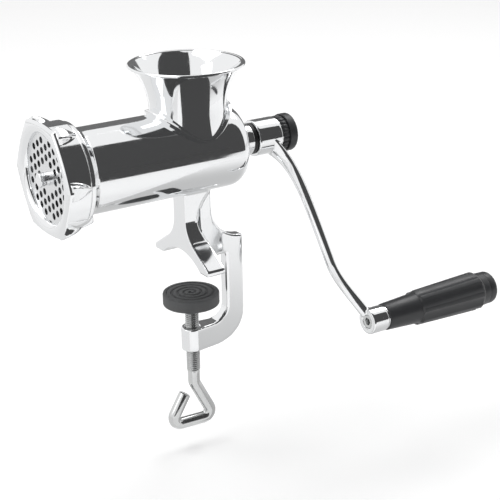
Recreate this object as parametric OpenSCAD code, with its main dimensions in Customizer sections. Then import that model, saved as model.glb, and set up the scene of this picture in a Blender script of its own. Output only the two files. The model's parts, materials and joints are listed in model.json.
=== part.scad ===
// Hand crank meat grinder that clamps to the edge of a table.
// X runs along the barrel from the ring nut to the crank, and Z is up.
// The origin lies midway between the two feet, at the height of the table top.

/* [Barrel] */
// Height of the barrel axis above the table top
axis_h = 78; // [74:1:90]
// Outer diameter of the barrel
barrel_d = 57; // [56:0.5:60]
// Thickness of the barrel wall
barrel_wall = 3.5; // [3:0.25:4.5]
// From the middle of the feet to the open mouth of the barrel
mouth_reach = 100; // [92:1:115]
// From the middle of the feet to the rear face of the barrel
tail_reach = 38; // [36:1:44]
// Radius that rounds the rear end of the barrel
tail_round = 12; // [9:1:13]
// Outer diameter of the bearing neck
neck_d = 21.6; // [20.8:0.2:23]
// Length of the bearing neck behind the barrel
neck_len = 10.5; // [8:0.5:14]
// Width of the drip lip under the mouth collar
drip_w = 14; // [10:1:18]

/* [Hopper] */
// From the middle of the feet to the hopper axis
hopper_x = 2.5; // [-2:0.5:6]
// Diameter over the hopper rim
rim_d = 77.6; // [72:0.2:84]
// Height of the hopper rim above the barrel axis
rim_rise = 60.4; // [56:0.2:68]
// Outer diameter of the hopper neck
hopper_d = 51.4; // [48:0.2:54]
// Thickness of the hopper wall
hopper_wall = 2.8; // [2.2:0.2:3.6]
// Height of the straight hopper neck above the barrel axis
flare_rise = 30; // [27:0.5:34]

/* [Cutting plate and ring nut] */
// Diameter of the cutting plate
plate_d = 62; // [61:0.5:62.5]
// Thickness of the cutting plate
plate_t = 5; // [4.5:0.25:6]
// Diameter of the holes in the plate
hole_d = 4.5; // [3:0.25:5]
// Spacing of the holes in the plate
hole_pitch = 6.8; // [6.4:0.1:9]
// Depth of the seat that holds the plate in the barrel mouth
plate_seat = 4; // [3:0.25:4.25]
// Wall of the barrel mouth around the plate
mouth_wall = 1.7; // [1.5:0.1:2.4]
// Wall of the ring nut's skirt around the mouth's thread
ring_wall = 1.9; // [1.5:0.1:2.5]
// Length of the ring nut
ring_len = 18; // [16:0.5:21]
// Thickness of the lip that holds the plate
lip_t = 4; // [3:0.25:5]
// How far the lip overlaps the plate
lip_overlap = 2; // [1:0.25:3]
// How far the lugs stand out from the skirt
lug_rise = 4.8; // [4:0.2:6]
// How far the middles of the flange's sides stand out from the skirt
flange_rise = 1.3; // [0.8:0.1:2]
// Thickness of the lugged flange
flange_t = 3; // [2.5:0.25:3.5]
// Width of a lug where it leaves the flange
lug_w = 10; // [8:0.5:12]

/* [Worm, knife and shaft] */
// Clearance between the worm and the bore
worm_gap = 0.6; // [0.4:0.1:1.5]
// Turns of the worm's flight
worm_turns = 3.75; // [3:0.25:4.5]
// Diameter of the worm's core behind the knife
core_front_d = 25; // [22:0.5:28]
// Diameter of the worm's core at its rear end
core_rear_d = 18; // [17:0.5:20]
// Diameter of the shaft in the bush
shaft_d = 14; // [13:0.25:14.5]
// Side of the square drives on the shaft
square_w = 9.5; // [9.25:0.05:9.8]
// Diameter of the pin in the middle of the plate
pin_d = 8.8; // [8:0.1:9]
// How far the pin stands out of the ring nut
pin_proud = 2.5; // [1:0.25:5]
// Thickness of the cross knife
knife_t = 7.5; // [6:0.25:8]
// Wall of the bush around the shaft
bush_wall = 1.75; // [1.5:0.05:2]
// Thickness of the bush's flange
bush_flange_t = 2.8; // [2:0.2:4]

/* [Crank] */
// How far the crank is turned from straight down
crank_angle = 35; // [0:5:90]
// From the barrel axis to the handle axis
crank_r = 143.5; // [130:0.5:160]
// Outer diameter of the crank's hub
hub_d = 25.2; // [24:0.2:28]
// Length of the crank's hub
hub_len = 18.9; // [17:0.1:22]
// From the hub's front face to the middle of the straight arm
arm_offset = 27.5; // [24:0.5:30]
// From the hub's front face to the front of the boss
boss_offset = 39.2; // [36:0.2:44]
// Diameter of the boss at the end of the arm
boss_d = 18; // [17:0.5:20]
// Length of the boss
boss_len = 13; // [12:0.5:18]
// Width of the arm across its edges
arm_w = 7; // [6:0.1:8.5]
// Depth of the arm over its two ridges
arm_depth = 8.6; // [7:0.1:10]
// How quickly the arm sweeps out from the hub
arm_sweep = 16; // [12:1:22]
// Diameter of the knob that holds the crank
knob_d = 26.4; // [25:0.2:30]
// Length of the knob
knob_len = 11.2; // [10:0.2:15]
// Diameter of the screw in the knob
knob_screw_d = 7.8; // [6.5:0.1:8]

/* [Handle] */
// Length of the grip with its cap
grip_len = 96; // [88:1:108]
// Largest diameter of the grip, near its rear end
grip_d = 28; // [26:0.2:30]
// Diameter of the fluted body at its front
grip_mid_d = 24.8; // [23.6:0.2:26]
// Diameter of the grip's front end
grip_front_d = 18.6; // [18:0.2:20]
// Number of flutes around the grip
flute_count = 8; // [6:1:10]
// Depth of a flute
flute_depth = 0.9; // [0.5:0.1:1.2]
// Diameter of the spindle that the grip turns on
spindle_d = 11; // [9:0.5:11.5]

/* [Leg and clamp frame] */
// Distance over the two feet
foot_span = 72; // [66:1:80]
// Length of a foot along the barrel
foot_t = 14.5; // [13:0.5:16]
// Height of a foot at its toe
toe_h = 3.8; // [3:0.2:6]
// Width of the leg at its waist
waist_w = 16; // [14.5:0.5:18]
// Height of the arch between the feet
arch_h = 9.2; // [7:0.2:10]
// Thickness of the frame's web and spine
web_t = 8.4; // [7.5:0.1:10]
// From the screw axis to the inner side of the spine
throat = 26.8; // [24.5:0.2:32]
// Width of the spine
spine_w = 13.9; // [12:0.1:18]
// From the table top to the upper side of the jaw
jaw_drop = 49.5; // [45:0.5:60]
// Height of the jaw
jaw_h = 17.1; // [15:0.1:20]
// Diameter of the jaw's end around the screw
jaw_d = 15.6; // [15.2:0.2:18]

/* [Clamp screw] */
// Diameter of the screw's thread
screw_d = 9.6; // [9.2:0.1:10]
// Diameter of the bent rod
rod_d = 8.4; // [7:0.1:8.8]
// Diameter of the pad
pad_d = 39.4; // [36:0.2:46]
// Thickness of the pad
pad_t = 8.5; // [8:0.25:11]
// From the table top to the pad
pad_drop = 23.4; // [6:0.2:34]
// From the table top to the lower end of the screw's thread
thread_drop = 84; // [80:1:92]
// Height of the handle loop, over the middle of its rod
loop_h = 35.9; // [30:0.1:42]
// Straight rod between the thread's shoulder and the loop
loop_neck = 5.9; // [4:0.1:8]
// From the screw axis to the loop's corner on the spine's side
loop_right = 15.1; // [12:0.1:18]
// From the screw axis to the loop's corner on the other side
loop_left = 20.8; // [18:0.1:24]
// How far below the neck the rod's end stops
loop_end_drop = 7.4; // [6:0.1:12]
// How far the handle loop is turned about the screw
loop_turn = -3; // [-90:1:90]

/* [Fits] */
// Running clearance between a shaft and its bore, on the radius
run_gap = 0.05; // [0.02:0.01:0.09]
// Clearance between screw threads, and around the plate, on the radius
thread_gap = 0.3; // [0.2:0.05:0.4]
// Gap between faces that turn past each other
face_gap = 0.2; // [0.1:0.05:0.3]

/* [Hidden] */
$fn = 96;

// Lengths that only help a cut to pass through a face
cut = 1;

// Diameters around the cutting plate, each tied to the one inside it
mouth_thread_d = plate_d + 2 * (thread_gap + mouth_wall);
ring_d = mouth_thread_d + 2 * (thread_gap + ring_wall);
lip_d = plate_d - 2 * lip_overlap;
lug_tip_d = ring_d + 2 * lug_rise;
flange_d = ring_d + 2 * flange_rise;

// Places along the barrel
mouth_x = -mouth_reach;
plate_back_x = mouth_x + plate_seat;
plate_front_x = plate_back_x - plate_t;
ring_front_x = plate_front_x - lip_t;
ring_rear_x = ring_front_x + ring_len;
collar_x = ring_rear_x + 2 * face_gap;
collar_t = 3;
collar_d = mouth_thread_d + 2;
bore_d = barrel_d - 2 * barrel_wall;
plate_rest = 2.8;
chamber_d = plate_d - 2 * plate_rest;
chamber_depth = knife_t + 2 * face_gap + 1;
knife_back_x = plate_back_x + face_gap + knife_t;
core_front_x = knife_back_x + face_gap;
tail_wall = 4.5;
bore_end_x = tail_reach - tail_wall;
bore_round = 8;
washer_t = 1.5;
core_rear_x = bore_end_x - washer_t - face_gap;
neck_end_x = tail_reach + neck_len;
neck_cone = 3;
bush_d = shaft_d + 2 * run_gap + 2 * bush_wall;
bush_flange_d = neck_d;
hub_x = neck_end_x + bush_flange_t + face_gap;
hub_end_x = hub_x + hub_len;
knob_washer_t = 0.8;
knob_x = hub_end_x + face_gap + knob_washer_t + face_gap / 2;
boss_x = hub_x + boss_offset;
boss_end_x = boss_x + boss_len;

// Hopper flare: an arc that leaves the neck upright and ends at the rim
flare_h = rim_rise - flare_rise;
flare_out = (rim_d - hopper_d) / 2;
flare_r = (flare_h * flare_h + flare_out * flare_out) / (2 * flare_out);
rim_bead_r = hopper_wall / 2;

// Turns a shape drawn along Z so that it lies along the barrel, starting at x
module along_barrel(x) {
    translate([x, 0, axis_h]) rotate([0, 90, 0]) children();
}

// The crank's own frame: its arm points down, and the grinder's X stays
module crank_frame() {
    translate([0, 0, axis_h]) rotate([-crank_angle, 0, 0]) children();
}

// Turns a shape drawn along Z so that it lies along the handle, starting at x
module along_handle(x) {
    crank_frame() translate([x, 0, -crank_r]) rotate([0, 90, 0]) children();
}

module tube(outer_d, inner_d, length) {
    difference() {
        cylinder(d = outer_d, h = length);
        translate([0, 0, -cut]) cylinder(d = inner_d, h = length + 2 * cut);
    }
}

// A round bar whose far end is rounded with radius r
module round_ended_bar(d, length, r) {
    rotate_extrude() {
        square([d / 2, length - r]);
        square([d / 2 - r, length]);
        intersection() {
            translate([d / 2 - r, length - r]) circle(r);
            square([d / 2, length]);
        }
    }
}

// ---- Body casting ----

// Right half of the hopper in section; inset moves the flare's arc inwards
module hopper_half(inset) {
    neck_r = hopper_d / 2;
    intersection() {
        difference() {
            square([neck_r + flare_r, rim_rise + cut]);
            translate([neck_r + flare_r, flare_rise]) circle(flare_r + inset, $fn = 256);
            translate([neck_r - inset, -cut]) square([flare_r + inset, flare_rise + cut]);
        }
        square([rim_d / 2 + cut, rim_rise + (inset > 0 ? cut : -rim_bead_r)]);
    }
}

module hopper_outside() {
    bead_x = rim_d / 2 - rim_bead_r;
    translate([hopper_x, 0, axis_h]) {
        rotate_extrude($fn = 128) hopper_half(0);
        rotate_extrude($fn = 128) translate([bead_x, rim_rise - rim_bead_r]) circle(rim_bead_r, $fn = 32);
    }
}

module hopper_inside() {
    translate([hopper_x, 0, axis_h]) rotate_extrude($fn = 128) hopper_half(hopper_wall);
}

module barrel_outside() {
    along_barrel(mouth_x) cylinder(d = mouth_thread_d, h = collar_x - mouth_x + collar_t, $fn = 128);
    along_barrel(collar_x) {
        cylinder(d = collar_d, h = collar_t, $fn = 128);
        translate([0, 0, collar_t]) {
            cylinder(d1 = mouth_thread_d, d2 = barrel_d, h = (mouth_thread_d - barrel_d) / 2);
            round_ended_bar(barrel_d, tail_reach - collar_x - collar_t, tail_round);
        }
    }
    along_barrel(tail_reach) cylinder(d1 = barrel_d - 2 * tail_round, d2 = neck_d, h = neck_cone);
    along_barrel(tail_reach - tail_wall) cylinder(d = neck_d, h = neck_len + tail_wall);
}

module barrel_inside() {
    along_barrel(mouth_x - cut) cylinder(d = plate_d + 2 * thread_gap, h = plate_seat + cut, $fn = 128);
    along_barrel(mouth_x) cylinder(d = chamber_d, h = plate_seat + chamber_depth);
    along_barrel(mouth_x) round_ended_bar(bore_d, bore_end_x - mouth_x, bore_round);
    along_barrel(0) cylinder(d = bush_d, h = neck_end_x + cut);
}

// Rounded lip under the collar that lets juice drip off
module drip_lip() {
    lip_len = 13;
    lip_drop = collar_d / 2 + 2;
    intersection() {
        translate([collar_x, -drip_w / 2, axis_h - lip_drop]) cube([lip_len, drip_w, lip_drop]);
        translate([collar_x, 0, axis_h]) rotate([90, 0, 0]) cylinder(r = lip_drop, h = drip_w, center = true);
        translate([collar_x, 0, 0]) cylinder(r = lip_len, h = axis_h);
    }
}

// Concave side of the leg: an arc from the waist that runs out along the foot
slope_angle = 32;
arc_end_angle = 90 - slope_angle;
waist_h = 32;
toe_y = foot_span / 2;
waist_y = waist_w / 2;
side_arc_r = (waist_h - toe_h - (toe_y - waist_y) * tan(slope_angle))
    / (sin(arc_end_angle) - (1 - cos(arc_end_angle)) * tan(slope_angle));
arc_end_y = waist_y + side_arc_r * (1 - cos(arc_end_angle));
arc_end_z = waist_h - side_arc_r * sin(arc_end_angle);
leg_top = axis_h - barrel_d / 2 + barrel_wall;

module leg_front_half() {
    square([waist_y, leg_top]);
    polygon([[0, 0], [toe_y, 0], [toe_y, toe_h], [arc_end_y, arc_end_z], [0, arc_end_z]]);
    difference() {
        square([arc_end_y, waist_h]);
        translate([waist_y + side_arc_r, waist_h]) circle(side_arc_r);
    }
}

// Front view of the leg and its two feet, with the arch between them
module leg_front() {
    arch_half = toe_y - 11;
    arch_r = (arch_half * arch_half + arch_h * arch_h) / (2 * arch_h);
    difference() {
        union() {
            leg_front_half();
            mirror([1, 0]) leg_front_half();
        }
        translate([0, arch_h - arch_r]) circle(arch_r);
    }
}

// Side view of the leg: straight in front, and pinched behind at the waist
module leg_side() {
    pinch = 4.2;
    pinch_z = 30;
    half_h = 13.2;
    rear_r = (half_h * half_h + pinch * pinch) / (2 * pinch);
    difference() {
        union() {
            translate([-foot_t / 2, 0]) square([foot_t, leg_top]);
            translate([0, pinch_z]) square([foot_t / 2 + 5, leg_top - pinch_z]);
        }
        translate([foot_t / 2 - pinch + rear_r, pinch_z]) circle(rear_r);
    }
}

module leg() {
    intersection() {
        rotate([90, 0, 0]) linear_extrude(foot_t + foot_span, center = true) leg_side();
        translate([-foot_t, 0, 0]) rotate([90, 0, 90]) linear_extrude(2 * foot_t + 10) leg_front();
    }
}

spine_x = throat + spine_w;
outer_round = 22.7;
inner_round = 12;
shoulder_h = 12;
arc_start_x = 15.4;
web_x = foot_t / 2 - 1.5;
rear_arc_r = spine_x + 0.4 - arc_start_x;

// Side view of the web, the spine and the jaw
module frame_side() {
    jaw_low = -jaw_drop - jaw_h;
    difference() {
        union() {
            translate([web_x, jaw_low]) square([spine_x - web_x, leg_top - jaw_low]);
            translate([-jaw_d, jaw_low]) square([jaw_d + web_x + cut, jaw_h]);
        }
        translate([spine_x - outer_round, jaw_low]) difference() {
            square(outer_round + cut);
            translate([0, outer_round]) circle(outer_round);
            translate([-cut, outer_round]) square(outer_round + 2 * cut);
        }
        translate([arc_start_x + rear_arc_r, shoulder_h + rear_arc_r]) circle(rear_arc_r);
        translate([arc_start_x, shoulder_h + rear_arc_r]) square([2 * rear_arc_r, leg_top]);
        translate([-cut, -jaw_drop + inner_round]) square([throat + cut, jaw_drop - inner_round + 0.5]);
        translate([-jaw_d, -jaw_drop]) square([jaw_d + throat - inner_round, jaw_drop]);
        translate([throat - inner_round, -jaw_drop + inner_round]) circle(inner_round);
    }
}

// View of the frame from above: the web widens towards the screw
module frame_top() {
    near_y = jaw_d / 2 - 0.6;
    circle(d = jaw_d);
    polygon([
        [0, near_y], [throat - 2, web_t / 2], [spine_x + cut, web_t / 2],
        [spine_x + cut, -web_t / 2], [throat - 2, -web_t / 2], [0, -near_y]
    ]);
}

module clamp_frame() {
    jaw_low = -jaw_drop - jaw_h;
    intersection() {
        rotate([90, 0, 0]) linear_extrude(2 * jaw_d, center = true) frame_side();
        translate([0, 0, jaw_low - cut]) linear_extrude(leg_top - jaw_low + 2 * cut) frame_top();
    }
}

module body_casting() color("silver") difference() {
    union() {
        barrel_outside();
        hopper_outside();
        drip_lip();
        leg();
        clamp_frame();
    }
    barrel_inside();
    hopper_inside();
    key_place() cylinder(r = key_r + run_gap, h = key_len);
    translate([0, 0, -jaw_drop - jaw_h - cut]) cylinder(r = screw_d / 2 + thread_gap, h = jaw_h + 2 * cut);
}

// ---- Fixed small pieces ----

key_r = 1.2;
key_len = 7;
key_in_plate = 3.4;
key_at = (chamber_d / 2 + plate_d / 2 + thread_gap) / 2;

module key_place() {
    translate([0, 0, -key_at]) along_barrel(plate_back_x - key_in_plate) children();
}

module plate_key() color("dimgray") key_place() cylinder(r = key_r, h = key_len);

module rear_bush() color("#1c1c1e") {
    along_barrel(bore_end_x) tube(bush_d - 2 * run_gap, shaft_d + 2 * run_gap, neck_end_x - bore_end_x);
    along_barrel(neck_end_x) tube(bush_flange_d, shaft_d + 2 * run_gap, bush_flange_t);
}

module thrust_washer() color("gainsboro")
    along_barrel(bore_end_x - washer_t) tube(core_rear_d + 8, shaft_d + 4 * run_gap, washer_t);

// ---- Worm, knife, plate and ring nut ----

// Faces of a polyhedron whose points are rings of the same number of points
function ring_faces(rings, sides) = concat(
    [[for (j = [sides - 1:-1:0]) j]],
    [for (i = [0:rings - 2], j = [0:sides - 1], half = [0, 1])
        let (a = i * sides + j, b = i * sides + (j + 1) % sides)
        half == 0 ? [a, b, a + sides] : [b, b + sides, a + sides]],
    [[for (j = [0:sides - 1]) (rings - 1) * sides + j]]
);

worm_r = bore_d / 2 - worm_gap;
flight_front_x = core_front_x + 3;
flight_rear_x = core_rear_x - bore_round;
steps_per_turn = 32;
flight_root_w = 7;
flight_tip_w = 3;
pitch_ratio = 1.5;

function core_r(x) = core_front_d / 2
    + (core_rear_d - core_front_d) / 2 * (x - core_front_x) / (core_rear_x - core_front_x);
// The flight's place at share t of its turns: the pitch grows towards the rear
function flight_x(t) = flight_front_x + (flight_rear_x - flight_front_x)
    * (t + (pitch_ratio - 1) / 2 * t * t) / (1 + (pitch_ratio - 1) / 2);
function flight_section(x, a) = [
    for (p = [
        [x - flight_root_w / 2, core_r(x) - 1], [x + flight_root_w / 2, core_r(x) - 1],
        [x + flight_tip_w / 2, worm_r], [x - flight_tip_w / 2, worm_r]
    ]) [p[0], p[1] * cos(a), p[1] * sin(a)]
];

// The worm's flight is a left-hand helix, so that turning it clockwise feeds forwards
module worm_flight() {
    steps = round(worm_turns * steps_per_turn);
    points = [for (i = [0:steps]) each flight_section(flight_x(i / steps), -i * 360 / steps_per_turn)];
    translate([0, 0, axis_h]) polyhedron(points, ring_faces(steps + 1, 4), convexity = 10);
}

module square_bar(x, length) {
    along_barrel(x) translate([-square_w / 2, -square_w / 2, 0]) cube([square_w, square_w, length]);
}

module auger() color("lightgray") difference() {
    union() {
        along_barrel(core_front_x)
            cylinder(d1 = core_front_d, d2 = core_rear_d, h = core_rear_x - core_front_x);
        worm_flight();
        along_barrel(core_rear_x - cut) cylinder(d = shaft_d, h = hub_x - core_rear_x + cut);
        square_bar(hub_x - cut, hub_len - 2 + cut);
        square_bar(knife_back_x - knife_t + 1, knife_t);
    }
    along_barrel(knife_back_x - knife_t) cylinder(d = pin_d + 2 * run_gap, h = knife_t + pin_grip);
    along_barrel(hub_x + 2) cylinder(d = knob_screw_d + 2 * thread_gap, h = hub_len);
}

pin_grip = 12;
module knife_stud() color("silver") {
    pin_x = ring_front_x - pin_proud;
    pin_len = knife_back_x + pin_grip - pin_x;
    along_barrel(pin_x) cylinder(d = pin_d, h = pin_len);
}

// One blade: its cutting edge is straight, and its back is curved
module knife_blade() {
    blade_r = chamber_d / 2 - 0.6;
    intersection() {
        circle(blade_r);
        difference() {
            translate([0, -6.5]) square([blade_r, 10]);
            translate([blade_r * 0.72, -blade_r * 0.98]) circle(blade_r * 0.8);
        }
    }
}

module cross_knife() color("silver")
    along_barrel(plate_back_x + face_gap) linear_extrude(knife_t) difference() {
        union() {
            circle(d = square_w * 2);
            for (a = [0:90:270]) rotate(a) knife_blade();
        }
        square(square_w + 4 * run_gap, center = true);
    }

// Centres of the plate's holes, in columns that stand upright
hole_step = hole_pitch * sqrt(3) / 2;
hole_reach = plate_d / 2 - hole_d / 2 - 1.6;
hole_clear = pin_d / 2 + hole_d / 2 + 1.8;
key_room = 5;
plate_holes = [
    for (i = [-6:6], j = [-6:6])
        let (y = i * hole_step, z = (j + (i % 2 == 0 ? 0 : 0.5)) * hole_pitch, r = norm([y, z]))
        let (at_key = abs(y) < key_r + hole_d / 2 + 1 && z < key_room - key_at)
        if (r < hole_reach && r > hole_clear && !at_key) [z, y]
];

module perforated_plate() color("silver")
    along_barrel(plate_front_x) difference() {
        cylinder(d = plate_d, h = plate_t, $fn = 128);
        for (p = plate_holes) translate([p[0], p[1], -cut])
            cylinder(d = hole_d, h = plate_t + 2 * cut, $fn = 32);
        translate([0, 0, -cut]) cylinder(d = pin_d + 2 * run_gap + 0.1, h = plate_t + 2 * cut);
        translate([key_at - key_r - thread_gap, -key_r - thread_gap, -cut])
            cube([plate_d, 2 * (key_r + thread_gap), plate_t + 2 * cut]);
    }

// A hexagon with bowed sides: six large circles meet at the lug tips
module bowed_hexagon() {
    side_half = lug_tip_d / 4;
    bow = flange_d / 2 - lug_tip_d / 2 * cos(30);
    bow_r = (side_half * side_half + bow * bow) / (2 * bow);
    intersection_for (a = [0:60:300])
        rotate(a) translate([flange_d / 2 - bow_r, 0]) circle(bow_r, $fn = 256);
}

// A lug is a pointed arch seen from outside, and its height runs out to the skirt
module lug() {
    lug_len = ring_len - flange_t;
    arch_r = (lug_len * lug_len + lug_w * lug_w / 4) / lug_w;
    intersection() {
        translate([0, 0, flange_t]) rotate([0, 90, 0]) linear_extrude(lug_tip_d) intersection() {
            translate([0, arch_r - lug_w / 2]) circle(arch_r, $fn = 128);
            translate([0, -arch_r + lug_w / 2]) circle(arch_r, $fn = 128);
            translate([-lug_len, -lug_w]) square([lug_len + flange_t / 2, 2 * lug_w]);
        }
        cylinder(d = lug_tip_d, h = ring_len);
    }
}

// Round body that the lugs are cut from: its back curves down to the skirt
module lug_height() {
    drop = (lug_tip_d - ring_d) / 2;
    lug_len = ring_len - flange_t;
    back_r = (lug_len * lug_len + drop * drop) / (2 * drop);
    rotate_extrude($fn = 128) intersection() {
        translate([lug_tip_d / 2 - back_r, flange_t]) circle(back_r, $fn = 256);
        square([lug_tip_d, ring_len]);
    }
}

module ring_nut() color("silver") along_barrel(ring_front_x) difference() {
    union() {
        rotate(90) linear_extrude(flange_t) bowed_hexagon_with_tips();
        cylinder(d = ring_d, h = ring_len, $fn = 128);
        intersection() {
            lug_height();
            for (a = [0:60:300]) rotate(a + 90) lug();
        }
    }
    rotate_extrude($fn = 128) difference() {
        translate([0, -cut]) square([lip_d / 2 + lip_t, lip_t + cut]);
        translate([lip_d / 2 + lip_t, lip_t]) circle(lip_t, $fn = 64);
    }
    translate([0, 0, -cut]) cylinder(d = lip_d, h = ring_len, $fn = 128);
    translate([0, 0, lip_t]) cylinder(d = mouth_thread_d + 2 * thread_gap, h = ring_len, $fn = 128);
}

module bowed_hexagon_with_tips() {
    rotate(30) bowed_hexagon();
}

// ---- Crank ----

arm_steps = 32;
arm_sides = 24;
arm_start_r = 5;

function ease(t) = let (s = min(max(t, 0), 1)) s * s * (3 - 2 * s);
function power(v, e) = sign(v) * pow(abs(v), e);
// Where the arm's centre line lies along X, at distance r from the barrel axis
arm_root_x = hub_x + hub_len / 2 + 1;
arm_mid_x = hub_x + arm_offset;
arm_end_x = boss_x + boss_len * 0.4;
function arm_x(r) = arm_mid_x - (arm_mid_x - arm_root_x) * exp((arm_start_r - r) / arm_sweep)
    + (arm_end_x - arm_mid_x) * ease((r - crank_r * 0.68) / (crank_r * 0.4));
// At the hub the arm is as deep as the hub is round, and a little wider than farther out
function arm_half_w(r) = arm_w / 2
    * (1 + 0.3 * exp((arm_start_r - r) / 25) + 0.1 * ease((r - crank_r * 0.8) / 20));
function arm_half_depth(r) = arm_depth / 2 + (hub_d / 2 - 1.2 - arm_depth / 2) * exp((arm_start_r - r) / 13);
function arm_slope(r) = atan2(arm_x(r + 1) - arm_x(r - 1), 2);
// Section of the arm: rounded edges, and a ridge along the middle of each broad side
function arm_section(r) = [
    for (j = [0:arm_sides - 1])
        let (
            t = j * 360 / arm_sides,
            u = arm_half_w(r) * power(cos(t), 0.8),
            v = arm_half_depth(r) * (0.68 * power(sin(t), 0.8) + 0.32 * power(sin(t), 7)),
            s = arm_slope(r)
        )
        [arm_x(r) + u * cos(s), v, -r + u * sin(s)]
];

module arm_bar() {
    end_r = crank_r - boss_d / 2 + 4;
    points = [for (i = [0:arm_steps])
        each arm_section(arm_start_r + (end_r - arm_start_r) * pow(i / arm_steps, 1.25))];
    polyhedron(points, ring_faces(arm_steps + 1, arm_sides), convexity = 6);
}

head_d = 10;
head_h = 6;
head_sink = 1.2;
head_room = 0.15;
handle_screw_d = 6;
handle_screw_in = 15;

module crank_arm() color("silver") difference() {
    union() {
        crank_frame() arm_bar();
        along_barrel(hub_x) cylinder(d = hub_d, h = hub_len);
        along_handle(boss_x) cylinder(d = boss_d, h = boss_len);
    }
    along_barrel(hub_end_x) cylinder(d = knob_d + 1, h = knob_len + 2 * cut);
    along_barrel(hub_x - cut) translate([-square_w / 2 - 2 * run_gap, -square_w / 2 - 2 * run_gap, 0])
        cube([square_w + 4 * run_gap, square_w + 4 * run_gap, hub_len + 2 * cut]);
    along_handle(boss_x - cut) cylinder(d = head_d + 2 * head_room, h = head_h + head_sink + cut);
    along_handle(boss_x - cut) cylinder(d = handle_screw_d + 2 * run_gap, h = boss_len + 2 * cut);
}

module crank_washer() color("gainsboro")
    along_barrel(hub_end_x + face_gap) tube(hub_d - 2.4, knob_screw_d + 2 * run_gap, knob_washer_t);

knob_band = 4.2;
knob_band_d = knob_d - 1.6;
knob_grooves = 24;

module crank_knob() color("#1c1c1e") along_barrel(knob_x) difference() {
    union() {
        cylinder(d = knob_band_d, h = knob_band);
        cylinder(d = knob_band_d - 1.2, h = knob_len - 1);
        translate([0, 0, knob_band + 0.7]) round_ended_bar(knob_d, knob_len - knob_band - 0.7, 1.4);
    }
    for (i = [0:knob_grooves - 1]) rotate(i * 360 / knob_grooves)
        translate([knob_band_d / 2 + 0.45, 0, -cut]) cylinder(r = 1, h = knob_band + cut, $fn = 24);
    translate([0, 0, -cut]) cylinder(d = knob_screw_d + 2 * run_gap, h = knob_len - 3 + cut);
}

module knob_stud() color("silver") {
    stud_x = hub_x + 3;
    along_barrel(stud_x) cylinder(d = knob_screw_d, h = knob_x + knob_len - 3.2 - stud_x);
}

// ---- Handle ----

handle_washer_t = 0.8;
grip_x = boss_end_x + handle_washer_t + face_gap;
cap_len = 7;
grip_body_len = grip_len - cap_len;
spindle_head_d = spindle_d + 5;
spindle_head_t = 3;
spindle_end = grip_body_len - 5;
grip_rear_d = grip_d - 4.6;

module handle_screw() color("silver") {
    head_x = boss_x + head_sink;
    along_handle(head_x) difference() {
        cylinder(d = head_d, h = head_h);
        translate([0, 0, -cut]) cylinder(d = 5 / cos(30), h = 3 + cut, $fn = 6);
    }
    along_handle(head_x + head_h)
        cylinder(d = handle_screw_d, h = boss_end_x - head_x - head_h + handle_screw_in);
}

module handle_spindle() color("lightgray") difference() {
    union() {
        along_handle(boss_end_x) cylinder(d = spindle_d, h = grip_x - boss_end_x + spindle_end);
        along_handle(grip_x + spindle_end - spindle_head_t) cylinder(d = spindle_head_d, h = spindle_head_t);
    }
    along_handle(boss_end_x - cut) cylinder(d = handle_screw_d + 2 * run_gap, h = handle_screw_in + 2 + cut);
}

module handle_washer() color("gainsboro")
    along_handle(boss_end_x) tube(grip_front_d - 1.6, spindle_d + 2 * run_gap, handle_washer_t);

// The grip: a plain tapered front, a fluted body that widens backwards, and a narrower rear end
module handle_grip() color("#232325") along_handle(grip_x) {
    taper_len = grip_len * 0.28;
    rise = 2.6;
    plain_len = 5.8;
    body_end = grip_body_len - plain_len;
    flute_r = 13;
    difference() {
        rotate_extrude() polygon([
            [0, 0], [grip_front_d / 2 - 0.6, 0], [grip_front_d / 2, 0.6], [grip_front_d / 2 + 1.5, taper_len],
            [grip_mid_d / 2, taper_len + rise], [grip_d / 2, body_end - rise], [grip_rear_d / 2, body_end],
            [grip_rear_d / 2, grip_body_len], [0, grip_body_len]
        ]);
        for (i = [0:flute_count - 1]) rotate(i * 360 / flute_count)
            translate([grip_mid_d / 2 + flute_r - flute_depth, 0, taper_len - cut])
                rotate([0, atan2(grip_d - grip_mid_d, 2 * (body_end - taper_len)), 0])
                cylinder(r = flute_r, h = grip_len);
        translate([0, 0, -cut]) cylinder(d = spindle_d + 2 * run_gap, h = grip_len);
        translate([0, 0, spindle_end - spindle_head_t - face_gap])
            cylinder(d = spindle_head_d + 2 * thread_gap, h = grip_len);
    }
}

module grip_end_cap() color("#232325") along_handle(grip_x + grip_body_len) {
    round_ended_bar(grip_rear_d - 0.2, cap_len, 3);
    translate([0, 0, -4]) cylinder(d = spindle_head_d + 2 * thread_gap - 2 * run_gap, h = 5);
}

// ---- Clamp screw ----

tip_d = 6;
disc_d = 16;
disc_t = 2;
disc_z = -pad_drop - 5;
pad_low = -pad_drop - pad_t;
bend_r = 6.6;

// The rod's way: down from the thread, round a triangle, and back up beside its own start
shoulder = 3;
rod_z = -thread_drop - shoulder;
loop_low = rod_z - loop_h;
loop_corners = [
    [0, rod_z + cut], [0, rod_z - loop_neck], [loop_right, loop_low], [-loop_left, loop_low],
    [-rod_d + 0.7, rod_z - loop_neck - loop_end_drop]
];
bend_steps = 8;
rod_sides = 24;

function unit(v) = v / norm(v);
function turned(v, t) = [v[0] * cos(t) - v[1] * sin(t), v[0] * sin(t) + v[1] * cos(t)];
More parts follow.
